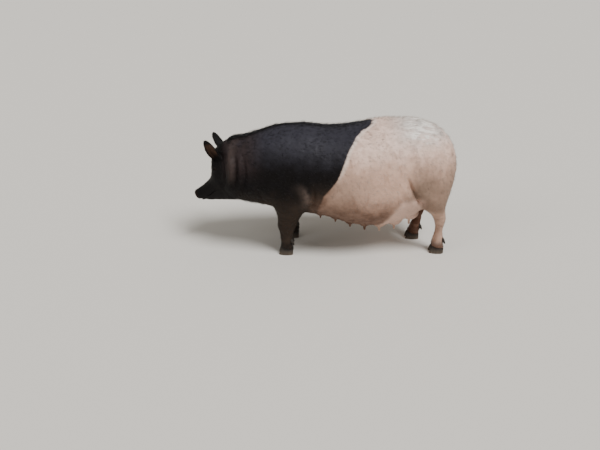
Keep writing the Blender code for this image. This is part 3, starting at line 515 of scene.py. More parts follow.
# Curved folds round an eye: their size as a share of the lids' size, their height, and where the middle of
# each lies, in degrees round the eye
EYE_FOLDS = (
    (1.26, -0.0015, 95),
    (1.46, 0.0012, 85),
    (1.70, -0.0016, 70),
    (2.10, -0.0012, 110),
    (1.34, -0.0014, 268),
    (1.66, -0.0013, 285),
    (2.05, -0.0012, 255),
    (2.50, -0.0010, 275),
)
EYE_FOLD_WIDTH = 0.10
EYE_FOLD_POWER = 0.7
EYE_FOLD_WOBBLE = 0.09
EYE_FOLDS_BEHIND = -0.02
LID_RADII = (0.0158, 0.0205, 0.0150)
LID_HALF_WIDTH = 0.0118
LID_HALF_HEIGHT = 0.0056
LID_CORNER_POWER = 0.75
LID_REACH = 0.030
LID_BEHIND = -0.010
EYE_RADIUS = 0.0120
# How far under the eyeball's surface its bed of skin lies
EYE_BED = 0.0018
MOUTH_AHEAD = 0.130
MOUTH_UP = -0.016
MOUTH_RISE = 0.026
MOUTH_CURVE = 1.6
MOUTH_HALF_ANGLE = math.radians(118)
MOUTH_BACK = 0.06
MOUTH_CUT = Fold(None, 0.0016, -0.0035)
LIPS = Fold(0.0055, 0.0030, 0.0012)
# The roll of skin over the claws
CORONET = Fold(None, 0.0065, 0.0034)
# The ears: how each leans in the head's frame, and how far from straight ahead it opens
EAR_LEAN = {"ear_left": Vector((0.05, -0.40, 1.0)), "ear_right": Vector((-0.32, 0.50, 1.0))}
EAR_OPENS = {"ear_left": math.radians(70), "ear_right": math.radians(15)}
EAR_HALF_LENGTH = 0.056
# Ridges inside the cup of an ear: how far aside each starts, with its width and height
EAR_RIDGES = (Fold(-0.012, 0.0030, 0.0016), Fold(-0.001, 0.0026, 0.0013), Fold(0.010, 0.0030, 0.0015))
EAR_RIDGE_FAN = 0.55
EAR_RIDGE_END = (0.085, 0.050)
EAR_RIDGE_START = (0.012, 0.028)
# Soft lumps of flesh: height, size and seed, coarse on the trunk and fine everywhere
COARSE_LUMPS = ((0.0030, 0.110, 21), (0.0014, 0.048, 22))
FINE_LUMPS = ((0.0007, 0.020, 23), (0.0003, 0.008, 24))


def smooth_line(stations, count):
    """Points of a smooth curve through the stations."""
    stations = np.asarray(stations, float)
    last = len(stations) - 1
    padded = np.concatenate([[2 * stations[0] - stations[1]], stations, [2 * stations[-1] - stations[-2]]])
    line = []
    for t in np.linspace(0, last, count):
        i = min(int(t), last - 1)
        share = t - i
        a, b, c, d = padded[i : i + 4]
        bend = 2 * a - 5 * b + 4 * c - d
        turn = 3 * b - a - 3 * c + d
        line.append((2 * b + (c - a) * share + bend * share**2 + turn * share**3) / 2)
    return line


def line_distance(points, line):
    """How far points lie from a broken line, and the share of its length at the nearest place."""
    best = np.full(len(points), FAR)
    share = np.zeros(len(points))
    for i, (start, end) in enumerate(zip(line, line[1:])):
        run = end - start
        along = np.clip((points - start) @ run / (run @ run), 0, 1)
        distance = np.linalg.norm(points - start - along[:, None] * run, axis=1)
        nearer = distance < best
        best[nearer] = distance[nearer]
        share[nearer] = (i + along[nearer]) / (len(line) - 1)
    return best, share


def laid(tree, stations, source, axis):
    """A line of stations laid on the skin from a side; each gives the two coordinates across that axis."""
    line = []
    way = Vector((0, 0, 0))
    way[axis] = -source
    for first, up in smooth_line(stations, FOLD_POINTS):
        start = Vector((0, 0, up))
        start[1 - axis] = first
        start[axis] = source
        place, _, _, _ = tree.ray_cast(start, way)
        if place:
            line.append(np.array(place))
    return np.array(line)


def fold_heights(points, tree, depth):
    """How far the folds of neck, flank, legs and rear lift or sink the skin."""
    rows = [(fold, side * FAR, 1) for fold in SIDE_FOLDS for side in SIDES.values()]
    rows += [(fold, FAR, 0) for fold in REAR_FOLDS]
    height = np.zeros(len(points))
    for fold, source, axis in rows:
        line = laid(tree, fold.stations, source, axis)
        reach = 3 * fold.width
        near = np.all((points > line.min(0) - reach) & (points < line.max(0) + reach), axis=1)
        distance, share = line_distance(points[near], line)
        fade = smooth_step(share, 0.0, FOLD_RISE) * smooth_step(share, 1.0, FOLD_FALL)
        height[near] += depth * fold.height * hill(distance, fold.width) * fade
    return height


def leg_heights(points, normals):
    """Knees, hocks and fetlocks, with the groove before the tendon on each side of a leg."""
    height = np.zeros(len(points))
    for foot in FEET:
        mine = near_box(points, "leg_" + foot, BOX_MARGIN) & (points[:, 2] < LEG_TOP)
        back, _, up = points[mine].T
        rows = [row for row in np.arange(LEG_ROW, LEG_TOP, LEG_ROW) if np.any(np.abs(up - row) < LEG_ROW)]
        middles = [back[np.abs(up - row) < LEG_ROW].mean() for row in rows]
        offset = back - np.interp(up, rows, middles)
        rings = sum(rise * hill(up - ring, width) for ring, width, rise in LEG_RINGS[foot[:4]])
        groove = hill(offset - TENDON_BEHIND, TENDON_WIDTH) * np.abs(normals[mine, 1])
        groove *= smooth_step(up, *TENDON_LOW) * smooth_step(up, *TENDON_HIGH)
        height[mine] += rings - TENDON_DEPTH * groove
    return height


def face_heights(points, normals, depth):
    """Creases across the muzzle and round the eyes."""
    ahead, aside, up = in_head(points)
    facing_up = smooth_step(normals @ np.array(HEAD_UP), 0.0, 0.5)
    height = np.zeros(len(points))
    for fold in FACE_FOLDS:
        line, reach = fold.stations
        offset = ahead - line + FACE_FOLD_BOW * (aside / reach) ** 2
        fade = smooth_step(np.abs(aside), reach * 1.35, reach * 0.7) * facing_up * (up > 0)
        height += depth * FACE_FOLD_DEPTH * fold.height * hill(offset, fold.width) * fade
    wobble = EYE_FOLD_WOBBLE * soft_noise(points, 0.012, 5)
    for side in SIDES:
        x, y, z = in_frame(points, eye_frame(side)).T
        ring = np.where(x > EYE_FOLDS_BEHIND, np.hypot(y / LID_RADII[1], z / LID_RADII[2]), FAR)
        angle = np.arctan2(z, y)
        for size, rise, middle in EYE_FOLDS:
            fade = np.clip(np.cos(angle - math.radians(middle)), 0, 1) ** EYE_FOLD_POWER
            height += rise * hill(ring - size + wobble, EYE_FOLD_WIDTH) * fade
    return height


def coronet_heights(points):
    """The soft roll of skin that lies over the upper edge of each claw."""
    height = np.zeros(len(points))
    for claw in (f"claw_{foot}_{label}" for foot in FEET for label in ("inner", "outer")):
        tree = surface_tree(claw)
        for i in np.flatnonzero(near_box(points, claw, 2 * CORONET.width)):
            distance = tree.find_nearest(Vector(points[i]), 3 * CORONET.width)[3]
            if distance is not None:
                height[i] = max(height[i], CORONET.height * float(hill(distance, CORONET.width)))
    return height


def ear_cup(ear):
    """The root of an ear's leaf, the way that it leans and the way that its cup faces."""
    way = (HEAD_AXES @ EAR_LEAN[ear]).normalized()
    opens = EAR_OPENS[ear]
    side = SIDES[ear.removeprefix("ear_")]
    face = HEAD_AXES @ Vector((-math.cos(opens), side * math.sin(opens), 0))
    face = (face - way * way.dot(face)).normalized()
    return middle_of(ear) - way * EAR_HALF_LENGTH, way, face


def ear_heights(points, normals):
    """Ridges that fan out from the root of each ear inside its cup."""
    height = np.zeros(len(points))
    for ear in EAR_NODES:
        root, way, face = (np.array(vector) for vector in ear_cup(ear))
        near = near_box(points, ear, 0.0)
        offset = points[near] - root
        along = offset @ way
        aside = offset @ np.cross(way, face)
        inside = smooth_step(normals[near] @ face, 0.3, 0.7)
        fade = smooth_step(along, *EAR_RIDGE_START) * smooth_step(along, *EAR_RIDGE_END)
        for ridge in EAR_RIDGES:
            line = ridge.stations * (1 + EAR_RIDGE_FAN * along / EAR_HALF_LENGTH)
            height[near] += ridge.height * hill(aside - line, ridge.width) * fade * inside
    return height


def lump_heights(points):
    """Soft unevenness of flesh under the skin, coarse on the trunk and finer on the face."""
    ahead, _, _ = in_head(points)
    coarse, fine = (
        sum(rise * soft_noise(points, size, seed) for rise, size, seed in lumps)
        for lumps in (COARSE_LUMPS, FINE_LUMPS)
    )
    coarse *= 1 - 0.75 * smooth_step(ahead, -0.06, 0.02)
    return coarse * eased(points[:, 2], 0.10, 0.22, 0.25, 1.0) + fine


def mouth_heights(points):
    """The line of the mouth, cut between the lips."""
    ahead, aside, up = in_head(points)
    share = np.abs(np.arctan2(aside, ahead - MOUTH_AHEAD)) / MOUTH_HALF_ANGLE
    offset = up - (MOUTH_UP + MOUTH_RISE * np.clip(share, 0, 1) ** MOUTH_CURVE)
    cut = MOUTH_CUT.height * hill(offset, MOUTH_CUT.width)
    lips = LIPS.height * hill(np.abs(offset) - LIPS.stations, LIPS.width)
    return np.where((ahead > MOUTH_BACK) & (share < 1.0), (cut + lips) * smooth_step(share, 1.0, 0.9), 0.0)


def relax_strength(points):
    """How strongly the net is relaxed: fully on the trunk, little on face, ears, teats and feet."""
    ahead, _, _ = in_head(points)
    back, aside, up = points.T
    strength = np.minimum.reduce((
        eased(ahead, -0.10, -0.03, RELAX_TRUNK, RELAX_HEAD),
        eased(ahead, 0.10, 0.20, RELAX_HEAD, RELAX_MUZZLE) + (ahead < 0.0),
        eased(up, 0.26, 0.17, RELAX_TRUNK, RELAX_LEGS),
        eased(up, 0.10, 0.07, RELAX_TRUNK, RELAX_FEET),
    ))
    for node in EAR_NODES:
        strength[near_box(points, node, -BOX_MARGIN) & (up > BOXES[node][0].z + EAR_ROOT)] = RELAX_EARS
    strength[near_box(points, "tail", BOX_MARGIN) & (back > BOXES["tail"][0].x + TAIL_ROOT)] = RELAX_TAIL
    strength = np.minimum(strength, eased(eye_distance(points), 0.018, 0.040, *RELAX_LIDS))
    between = (up < TEAT_TOP) & (up > TEAT_BOTTOM)
    pairs = zip(np.linspace(*TEAT_BACK, TEAT_PAIRS), np.linspace(*TEAT_ASIDE, TEAT_PAIRS))
    for pair_back, pair_aside in pairs:
        away = np.hypot(back - pair_back, np.abs(aside) - pair_aside)
        strength[between & (away < TEAT_REACH)] = RELAX_TEATS
    return strength


def refine(made, chosen):
    """Splits the edges round the chosen corners of a mesh once."""
    with edited(made.data) as mesh:
        mesh.verts.ensure_lookup_table()
        edges = {edge for i in np.flatnonzero(chosen) for edge in mesh.verts[i].link_edges}
        bmesh.ops.subdivide_edges(mesh, edges=list(edges), cuts=1, use_grid_fill=True)
        bmesh.ops.triangulate(mesh, faces=[face for face in mesh.faces if len(face.verts) > 3])


def opening_edge(across):
    """How high the opening of the lids reaches at a distance from its middle."""
    share = np.clip(1 - (across / LID_HALF_WIDTH) ** 2, 0, 1)
    return LID_HALF_HEIGHT * share**LID_CORNER_POWER


def open_lids(points):
    """Sinks the skin under each eyeball inside the almond of its lids, and rounds the lids over it."""
    for side in SIDES:
        matrix = eye_frame(side)
        x, y, z = in_frame(points, matrix).T
        near = (np.hypot(y, z) < LID_REACH) & (x > LID_BEHIND)
        inside = near & (np.abs(z) < opening_edge(y)) & (np.abs(y) < LID_HALF_WIDTH)
        around = (y / LID_RADII[1]) ** 2 + (z / LID_RADII[2]) ** 2
        lid = LID_RADII[0] * np.sqrt(np.clip(1 - around, 0, 1))
        raised = x + (np.maximum(lid, x) - x) * smooth_step(around, 1.0, 0.6)
        x = np.where(near & ~inside & (around < 1), raised, x)
        x = np.where(inside, np.sqrt(np.clip(EYE_RADIUS**2 - y**2 - z**2, 0, None)) - EYE_BED, x)
        forward = np.array(matrix)
        points[near] = np.stack([x, y, z], 1)[near] @ forward[:3, :3].T + forward[:3, 3]
    return points


class SOW_OT_skin(bpy.types.Operator):
    """Melts all flesh into one skin and adds its folds, lids and lips"""

    bl_idname = "sow.skin"
    bl_label = "Skin"

    def execute(self, context):
        settings = context.scene.sow_skin
        skin, tree = melted("skin", SWELLS, settings.net)
        points = relax(skin.data, relax_strength(points_of(skin.data)), RELAX_ROUNDS)
        move_points(skin.data, points)
        normals = normals_of(skin.data)
        height = fold_heights(points, tree, settings.fold_depth) + lump_heights(points)
        height += face_heights(points, normals, settings.fold_depth) + leg_heights(points, normals)
        height += ear_heights(points, normals) + coronet_heights(points)
        points += normals * height[:, None]
        points[:, 2] = np.maximum(points[:, 2], SKIN_BOTTOM)
        move_points(skin.data, points)
        thin_out(skin, settings.triangles)
        points = points_of(skin.data)
        ahead, aside, up = in_head(points)
        muzzle = (ahead > MUZZLE_AHEAD[0]) & (ahead < MUZZLE_AHEAD[1])
        muzzle &= (np.abs(up) < MUZZLE_UP) & (np.abs(aside) < MUZZLE_ASIDE)
        refine(skin, muzzle | (eye_distance(points) < EYE_FINE))
        refine(skin, eye_distance(points_of(skin.data)) < EYE_FINEST)
        points = points_of(skin.data)
        points += normals_of(skin.data) * mouth_heights(points)[:, None]
        move_points(skin.data, open_lids(points))
        skin.data.shade_smooth()
        dress(skin, skin_material(context.scene), "pale_skin", *FLESH_NODES)
        return {"FINISHED"}


# Materials

NODE_SPACING = 240
NODES_IN_A_ROW = 12
# A Mix node has sockets of the same name for each kind of data, so those for colours go by number
MIX_FACTOR = 0
MIX_FIRST = 6
MIX_SECOND = 7
MIX_RESULT = 2
STEP_SOCKETS = ("Value", "From Min", "From Max", "To Min", "To Max")


def connect(node, inputs):
    """Sets or links the inputs of a node."""
    for socket, value in inputs.items():
        if isinstance(value, bpy.types.NodeSocket):
            node.id_data.links.new(value, node.inputs[socket])
        else:
            node.inputs[socket].default_value = value


def add(tree, kind, inputs=None, output=0, **settings):
    """Adds a shader node with its settings, sets or links its inputs, and gives one of its outputs."""
    node = tree.nodes.new("ShaderNode" + kind)
    row, column = divmod(len(tree.nodes), NODES_IN_A_ROW)
    node.location = (column * NODE_SPACING, -row * NODE_SPACING)
    for key, value in settings.items():
        setattr(node, key, value)
    connect(node, inputs or {})
    return node.outputs[output]


def zone(tree, *rows):
    """The product of its rows.

    A row is a socket, a number, a socket with the share of it that is added to 1, or a socket with where a
    soft step begins and ends and perhaps its two values.
    """
    result = None
    for row in rows:
        if isinstance(row, tuple) and len(row) == 2:
            row = add(tree, "Math", {0: row[0], 1: row[1], 2: 1.0}, operation="MULTIPLY_ADD")
        elif isinstance(row, tuple):
            row = add(tree, "MapRange", dict(zip(STEP_SOCKETS, row)), interpolation_type="SMOOTHSTEP")
        result = row if result is None else add(tree, "Math", {0: result, 1: row}, operation="MULTIPLY")
    return result


def layered(tree, colour, *layers):
    """Colours laid over a first one; a layer is a colour and the rows of the zone that it covers."""
    for cover, *rows in layers:
        sockets = {MIX_FACTOR: zone(tree, *rows), MIX_FIRST: colour, MIX_SECOND: cover}
        colour = add(tree, "Mix", sockets, MIX_RESULT, data_type="RGBA")
    return colour


def total(tree, first, *terms):
    """A number and sockets added up, each socket times its share."""
    for value, share in terms:
        first = add(tree, "Math", {0: value, 1: share, 2: first}, operation="MULTIPLY_ADD")
    return first


def oval(tree, middle, radii):
    """How far the surface lies from a middle, in radii; an axis without a radius doesn't count."""
    scale = [1 / radius if radius else 0.0 for radius in radii]
    shift = [-place * share for place, share in zip(middle, scale)]
    inputs = {"Vector": add(tree, "TexCoord", output="Object"), "Location": shift, "Scale": scale}
    return add(tree, "VectorMath", {0: add(tree, "Mapping", inputs)}, "Value", operation="LENGTH")


def bumps(tree, *rows):
    """Bumps on one another, each with its height, strength and distance."""
    inputs = {}
    for height, strength, distance in rows:
        inputs |= {"Height": height, "Strength": strength, "Distance": distance}
        inputs["Normal"] = add(tree, "Bump", inputs)
    return inputs["Normal"]


# A mottled pattern: the real size of its patches, with its detail, roughness, stretch and turn
Grain = namedtuple("Grain", "size detail roughness stretch turn", defaults=(2.0, 0.5, (1, 1, 1), 0.0))
GRAINS = {
    # How the edge of the dark half wanders, and how its hair frays it
    "wander": Grain(0.070),
    "fray": Grain(0.009),
    "patches": Grain(0.055, 4.0, 0.6),
    # Blur of the edge of the painted elbow highlight
    "elbow": Grain(0.020),
    # Streaks of the painted highlights on the rump
    "streaks": Grain(0.020, 3.0, 0.6, (0.32, 1.0, 1.5)),
    "blotches": Grain(0.045, 3.0, 0.55),
    # Hair strokes lie back and down; real ones are 0.2 mm wide and are drawn 3 mm wide to show
    "strokes": Grain(0.003, 2.0, 0.6, (0.10, 1.0, 1.0), math.radians(-24)),
    "flushes": Grain(0.026, 4.0, 0.6, (1.0, 1.0, 0.30)),
    "splashes": Grain(0.030, 4.0, 0.6, (0.5, 1.0, 1.0)),
    "veins": Grain(0.006, 2.0, 0.5, (1.0, 1.0, 0.25)),
    "dents": Grain(0.016, 3.0, 0.55),
    "iris": Grain(1 / 900),
    "rim": Grain(0.0025, 3.0),
    # Fibres of horn are 0.2 mm apart; they are drawn 2 mm apart to show
    "fibres": Grain(0.002, 4.0, 0.5, (1.0, 1.0, 0.12)),
    "smears": Grain(1 / 70, 4.0),
    "tufts": Grain(0.00625),
}
# Skin cells are about 1 mm; they are drawn 4 mm wide to show
SKIN_CELL = 0.004
# Pits of the snout's skin are about 1 mm; they are drawn 2 mm wide to show
SNOUT_PIT = 0.002


def grains(tree, *names):
    """Mottled patterns in the piece's own coordinates."""
    place = add(tree, "TexCoord", output="Object")
    made = []
    for name in names:
        size, detail, roughness, stretch, turn = GRAINS[name]
        vector = add(tree, "Mapping", {"Vector": place, "Scale": stretch, "Rotation": (0, turn, 0)})
        inputs = {"Vector": vector, "Scale": 1 / size, "Detail": detail, "Roughness": roughness}
        made.append(add(tree, "TexNoise", inputs))
    return made


# Where the dark front ends on the flank: heights from the floor and how far back the edge lies there
EDGE_STATIONS = (
    (0.050, -0.045),
    (0.260, -0.034),
    (0.294, -0.024),
    (0.346, -0.003),
    (0.412, 0.048),
    (0.447, 0.066),
    (0.488, 0.082),
    (0.527, 0.095),
    (0.556, 0.114),
    (0.594, 0.152),
    (0.629, 0.214),
    (0.680, 0.262),
)
EDGE_HIGH = 0.70
EDGE_BACK = (-0.10, 0.30)
# The painted highlight on the bulge of the elbow: its middle and radii
ELBOW_MIDDLE = (-0.140, 0.0, 0.310)
ELBOW_RADII = (0.060, None, 0.085)
# The udder lies behind a slanting line: how far the line runs forward for each metre down
UDDER_SLANT = 0.607

# The zones that her markings are made of. The rows of a zone are as in zone(), with a name for each measure
# or earlier zone: x, y and z are places, behind is how far behind the edge, belly and rise are heights blurred
# by patches, slant is how far behind the line of the udder, aside is how far from the middle plane
ZONES = {
    "far_leg": (("y", 0.02, 0.05), ("x", 0.34, 0.40), ("z", 0.28, 0.22)),
    "near_leg": (("y", -0.03, -0.06), ("x", 0.44, 0.48), ("z", 0.035, 0.07)),
    "behind_elbow": (("x", -0.090, -0.050), ("behind", 0.065, -0.010), ("belly", 0.440, 0.285)),
    "brown": ("behind_elbow", ("z", 0.36, 0.28)),
    "dark": (("behind", 0.007, -0.005), ("brown", -0.45)),
    "edge": (("behind", -0.004, 0.003), ("behind", 0.024, 0.004), ("z", 0.38, 0.48)),
    "udder": (("slant", 0.140, 0.180), ("z", 0.330, 0.290), ("x", 0.47, 0.43), ("far_leg", 0.6, 0.0)),
    "teats": (("aside", 0.085, 0.070), ("z", 0.150, 0.125)),
    "pink": ("udder", ("teats", -0.75)),
    # Mud on belly and legs, spread wide and dark low down as painted shade under the belly
    "belly_mud_and_shade": (("belly", 0.372, 0.205), ("x", -0.44, -0.36), ("near_leg", -0.8), ("udder", -0.85)),
    # Mud with the painted shadow of the body on the far hind leg
    "muddy_leg": ("far_leg", 1.3),
    "dust": (("rise", 0.510, 0.640), ("x", 0.24, 0.40)),
    # The next three: painted shade, darker low on the hams, on the front of the flank and underneath
    "ham": (("x", 0.34, 0.42), ("rise", 0.53, 0.36), ("z", 0.20, 0.26), ("x", 0.50, 0.44, 0.78, 1.0)),
    "fore_flank": (("x", 0.26, 0.08, 0.0, 0.62), ("rise", 0.50, 0.36)),
    "underside": (("z", 0.26, 0.16, 0.0, 0.22),),
    # Painted highlights: bright streaks where light catches the top of the rump
    "rump_streak_highlight": (("streaks", 0.46, 0.55), ("x", 0.33, 0.40), ("x", 0.53, 0.47), ("z", 0.550, 0.580)),
    # Painted light: the upper body lighter where light falls from above
    "high": (("rise", 0.42, 0.58), ("x", -0.475, -0.450)),
    "neck": (("x", -0.26, -0.38), ("x", -0.485, -0.455), ("rise", 0.36, 0.46)),
    # A painted highlight on the bulge of the elbow
    "elbow": (("elbow_oval", 0.15, 1.0), ("elbow_oval", 1.30, 0.90), ("x", -0.175, -0.080),
              ("z", 0.215, 0.320), ("z", 0.410, 0.320)),
    # A painted highlight on a fold of the neck
    "neck_fold_highlight": (("x", -0.458, -0.438), ("x", -0.398, -0.422), ("z", 0.34, 0.42), ("z", 0.57, 0.50), 0.22),
}
# The markings, each the strongest of its zones
MARKS = {
    "Dark": ("dark",),
    "Edge": ("edge",),
    "Mud_and_shade": ("belly_mud_and_shade", "behind_elbow", "muddy_leg"),
    "Dust": ("dust",),
    "Shaded": ("ham", "fore_flank", "underside"),
    "Streak_highlight": ("rump_streak_highlight",),
    "Udder": ("pink",),
    "Lit_top": ("high",),
    "Neck": ("neck",),
    "Elbow": ("elbow", "neck_fold_highlight"),
}


def markings_group():
    """Where she is dark, muddy, dusty and pink, and where light and shade are painted on her, from the place
    on her body; skin and bristles share it.
    """
    found = bpy.data.node_groups.get("sow markings")
    if found:
        return found
    tree = bpy.data.node_groups.new("sow markings", "ShaderNodeTree")
    x, y, z = add(tree, "SeparateXYZ", {0: add(tree, "TexCoord", output="Object")}).node.outputs
    height = add(tree, "MapRange", {"Value": z, "From Max": EDGE_HIGH})
    curve = add(tree, "FloatCurve", {"Value": height})
    line = curve.node.mapping.curves[0]
    low, high = EDGE_BACK
    stations = [(up / EDGE_HIGH, (back - low) / (high - low)) for up, back in EDGE_STATIONS]
    line.points[0].location = (0.0, stations[0][1])
    line.points[1].location = (1.0, stations[-1][1])
    for station in stations:
        line.points.new(*station)
    curve.node.mapping.update()
    edge = add(tree, "MapRange", {"Value": curve, "To Min": low, "To Max": high})
    wander, fray, patches, elbow, streaks = grains(tree, "wander", "fray", "patches", "elbow", "streaks")
    # The first number of a sum takes away half of what its patterns add, as they lie round one half
    values = {
        "x": x,
        "y": y,
        "z": z,
        "aside": add(tree, "Math", {0: y}, operation="ABSOLUTE"),
        "behind": total(tree, -0.013, (x, 1.0), (edge, -1.0), (wander, 0.018), (fray, 0.008)),
        "belly": total(tree, 0.045, (z, 1.0), (patches, -0.09)),
        "rise": total(tree, -0.050, (z, 1.0), (patches, 0.10)),
        "slant": total(tree, 0.0, (x, 1.0), (z, -UDDER_SLANT)),
        "elbow_oval": total(tree, -0.175, (oval(tree, ELBOW_MIDDLE, ELBOW_RADII), 1.0), (elbow, 0.35)),
        "streaks": streaks,
    }
    for name, rows in ZONES.items():
        sockets = [
            (values[row[0]], *row[1:]) if isinstance(row, tuple) else values.get(row, row) for row in rows
        ]
        values[name] = zone(tree, *sockets)
    marks = {}
    for name, (first, *others) in MARKS.items():
        tree.interface.new_socket(name, in_out="OUTPUT", socket_type="NodeSocketFloat")
        marks[name] = values[first]
        for part in others:
            marks[name] = add(tree, "Math", {0: marks[name], 1: values[part]}, operation="MAXIMUM")
    connect(tree.nodes.new("NodeGroupOutput"), marks)
    return tree


def tint(colour, share=1.0):
    """A colour property, darker or brighter by a share, with full alpha."""
    return (colour[0] * share, colour[1] * share, colour[2] * share, 1.0)


def new_material(name):
    """A node material, its tree and its shader."""
    made = bpy.data.materials.new(name)
    made.use_nodes = True
    return made, made.node_tree, made.node_tree.nodes["Principled BSDF"]


# The thin skin inside an ear: how far from its middle line and how far up from its root it reaches
EAR_LINING_AWAY = (0.029, 0.01595)
EAR_LINING_START = (0.010, 0.050)
EAR_LINING_END = (0.108, 0.086)
# Where the bare disc of the snout begins, ahead in the head's frame
SNOUT_AHEAD = (0.2135, 0.2165)


def ear_lining(tree, ear):
    """The rows of the zone inside an ear's cup."""
    root, way, face = ear_cup(ear)
    facing = add(tree, "TexCoord", output="Normal")
    place = add(tree, "TexCoord", output="Object")
    offset = add(tree, "VectorMath", {0: place, 1: root}, operation="SUBTRACT")
    across = add(tree, "VectorMath", {0: offset, 1: way}, operation="CROSS_PRODUCT")
    away = add(tree, "VectorMath", {0: across}, "Value", operation="LENGTH")
    along = add(tree, "VectorMath", {0: offset, 1: way}, "Value", operation="DOT_PRODUCT")
    open_to = add(tree, "VectorMath", {0: facing, 1: face}, "Value", operation="DOT_PRODUCT")
    steps = ((along, *EAR_LINING_START), (along, *EAR_LINING_END), (away, *EAR_LINING_AWAY))
    return (open_to, 0.30, 0.75), *steps, 0.92


def skin_material(scene):
    """Living hide: matt where it is dry and dusty, with a soft shine on the dark coat."""
    made, tree, shader = new_material("hide_short_haired")
    skin = scene.sow_skin
    place = add(tree, "TexCoord", output="Object")
    marks = add(tree, "Group", node_tree=markings_group()).node.outputs
    blotches, strokes, flushes, splashes, veins, dents = grains(
        tree, "blotches", "strokes", "flushes", "splashes", "veins", "dents"
    )
    cells = add(tree, "TexVoronoi", {"Vector": place, "Scale": 1 / SKIN_CELL}, feature="DISTANCE_TO_EDGE")
    pits = add(tree, "TexVoronoi", {"Vector": place, "Scale": 1 / SNOUT_PIT})
    # Mud, with painted shade under the belly and the painted shadow on the far hind leg
    mud_and_painted_shade = zone(tree, marks["Mud_and_shade"], (splashes, 0.30, 0.70, 0.70, 1.0))
    lit = zone(tree, (marks["Lit_top"], 0.0, 1.0, 0.18, 1.0))
    ahead = add(tree, "VectorMath", {0: place, 1: -HEAD_BACK}, "Value", operation="DOT_PRODUCT")
    disc = zone(tree, (ahead, *(start - HEAD_CENTRE @ HEAD_BACK for start in SNOUT_AHEAD)))
    pale = layered(
        tree,
        tint(skin.pale),
        # Painted light on the upper pale skin
        (tint(skin.pale_lit), marks["Lit_top"]),
        (tint(skin.pale, 0.66), (blotches, 0.35, 0.70, 0.0, 0.45)),
        (tint(skin.mud, 2.4), (flushes, 0.50, 0.74, 0.0, 0.34)),
        (tint(skin.dusty), marks["Dust"], (blotches, 0.2, 0.8, 0.65, 0.95)),
        # Painted shade on hams, front flank and underside
        (tint(skin.shade_and_mud), marks["Shaded"], 0.90),
        (tint(skin.pale, 0.45), (strokes, 0.40, 0.75, 0.0, 0.15)),
        (tint(skin.udder), marks["Udder"], 0.85),
        # Painted highlights in streaks on the rump
        (tint(skin.whitish_edge_and_highlight), marks["Streak_highlight"], 0.9),
        (tint(skin.mud), mud_and_painted_shade, 0.92),
    )
    dark = layered(
        tree,
        tint(skin.dark),
        # Painted sheen: the dark coat bluish and lighter high up, brownish on the neck, and lighter in
        # blotches and hair strokes where it is lit
        (tint(skin.dark_top), marks["Lit_top"]),
        (tint(skin.dark_neck), marks["Neck"]),
        (tint(skin.dark_top, 1.3), lit, (blotches, 0.45, 0.75, 0.0, 0.30)),
        (tint(skin.dark_top, 2.0), lit, (strokes, 0.50, 0.8, 0.0, 0.35)),
        # Painted highlights on the elbow and on a fold of the neck
        (tint(skin.pale_lit, 0.145), marks["Elbow"], 0.95),
        (tint(skin.shade_and_mud, 0.26), mud_and_painted_shade, 0.72),
    )
    lining = layered(tree, tint(skin.ear_lining, 0.60), (tint(skin.ear_lining), (veins, 0.35, 0.65)))
    moist = layered(tree, tint(skin.snout, 0.45), (tint(skin.snout), (pits, 0.1, 0.6)))
    body = layered(
        tree,
        pale,
        (dark, marks["Dark"]),
        (tint(skin.whitish_edge_and_highlight), marks["Edge"], 0.35),
        *((lining, *ear_lining(tree, ear)) for ear in EAR_NODES),
        (moist, disc),
    )
    dry = zone(tree, (blotches, 0.2, 0.8, 0.52, 0.68))
    shine = zone(tree, (marks["Lit_top"], 0.0, 1.0, 0.10, 0.21))
    relief = (
        (cells, 0.35, 0.0008),
        (strokes, 0.6, 0.0010),
        (dents, 0.5, 0.003),
        (zone(tree, pits, disc), 0.5, 0.0006),
    )
    connect(shader, {
        "Base Color": body,
        "Roughness": add(tree, "Mix", {0: disc, 2: dry, 3: 0.30}),
        "Specular IOR Level": add(tree, "Mix", {0: marks["Dark"], 2: 0.28, 3: shine}),
        "Normal": bumps(tree, *relief),
    })
    return made


# Eyes

EYE_SEGMENTS = 40
EYE_RINGS = 28
CORNEA_REACH = math.radians(38)
CORNEA_RISE = 0.0011
IRIS_RADII = (None, 0.0086, 0.0086)
PUPIL_RADII = (None, 0.0044, 0.0030)
RIM_RADIUS = 0.0011
RIM_PROUD = 0.0008
RIM_STEPS = 48
RIM_SIDES = 8
LASHES = 34
LASH_LENGTH = 0.013
LASH_RADIUS = 0.00022
LASH_SPAN = 0.9
# How the lashes fan out towards the corners of the eye, how far they stray, and how far their tips drop
LASH_FAN = 34
LASH_STRAY = 0.14
LASH_DROP = Vector((0.0, 0.0, -0.45))


def eye_material(scene):
    """Wet eyeball: a clear film gives a sharp glint over a dark brown iris."""
    made, tree, shader = new_material("eye_wet")
    detail = scene.sow_detail
    middle = (0.0, 0.0, 0.0)
    iris = layered(
        tree,
        tint(detail.iris),
        (tint(detail.iris, 0.35), *grains(tree, "iris")),
        (tint(detail.pupil), (oval(tree, middle, PUPIL_RADII), 1.08, 0.92)),
    )
    ball = layered(tree, tint(detail.eye_white), (iris, (oval(tree, middle, IRIS_RADII), 1.05, 0.95)))
    connect(shader, {"Base Color": ball, "Roughness": 0.09, "IOR": 1.376, "Specular IOR Level": 0.22})
    return made


def lid_rim_material(scene):
    """Bare edge of the lids: dark, thin and kept moist by tears."""
    made, tree, shader = new_material("lid_edge_moist")
    lining = scene.sow_skin.ear_lining
    colour = layered(tree, tint(lining, 0.12), (tint(lining, 0.45), *grains(tree, "rim")))
    connect(shader, {"Base Color": colour, "Roughness": 0.28})
    return made


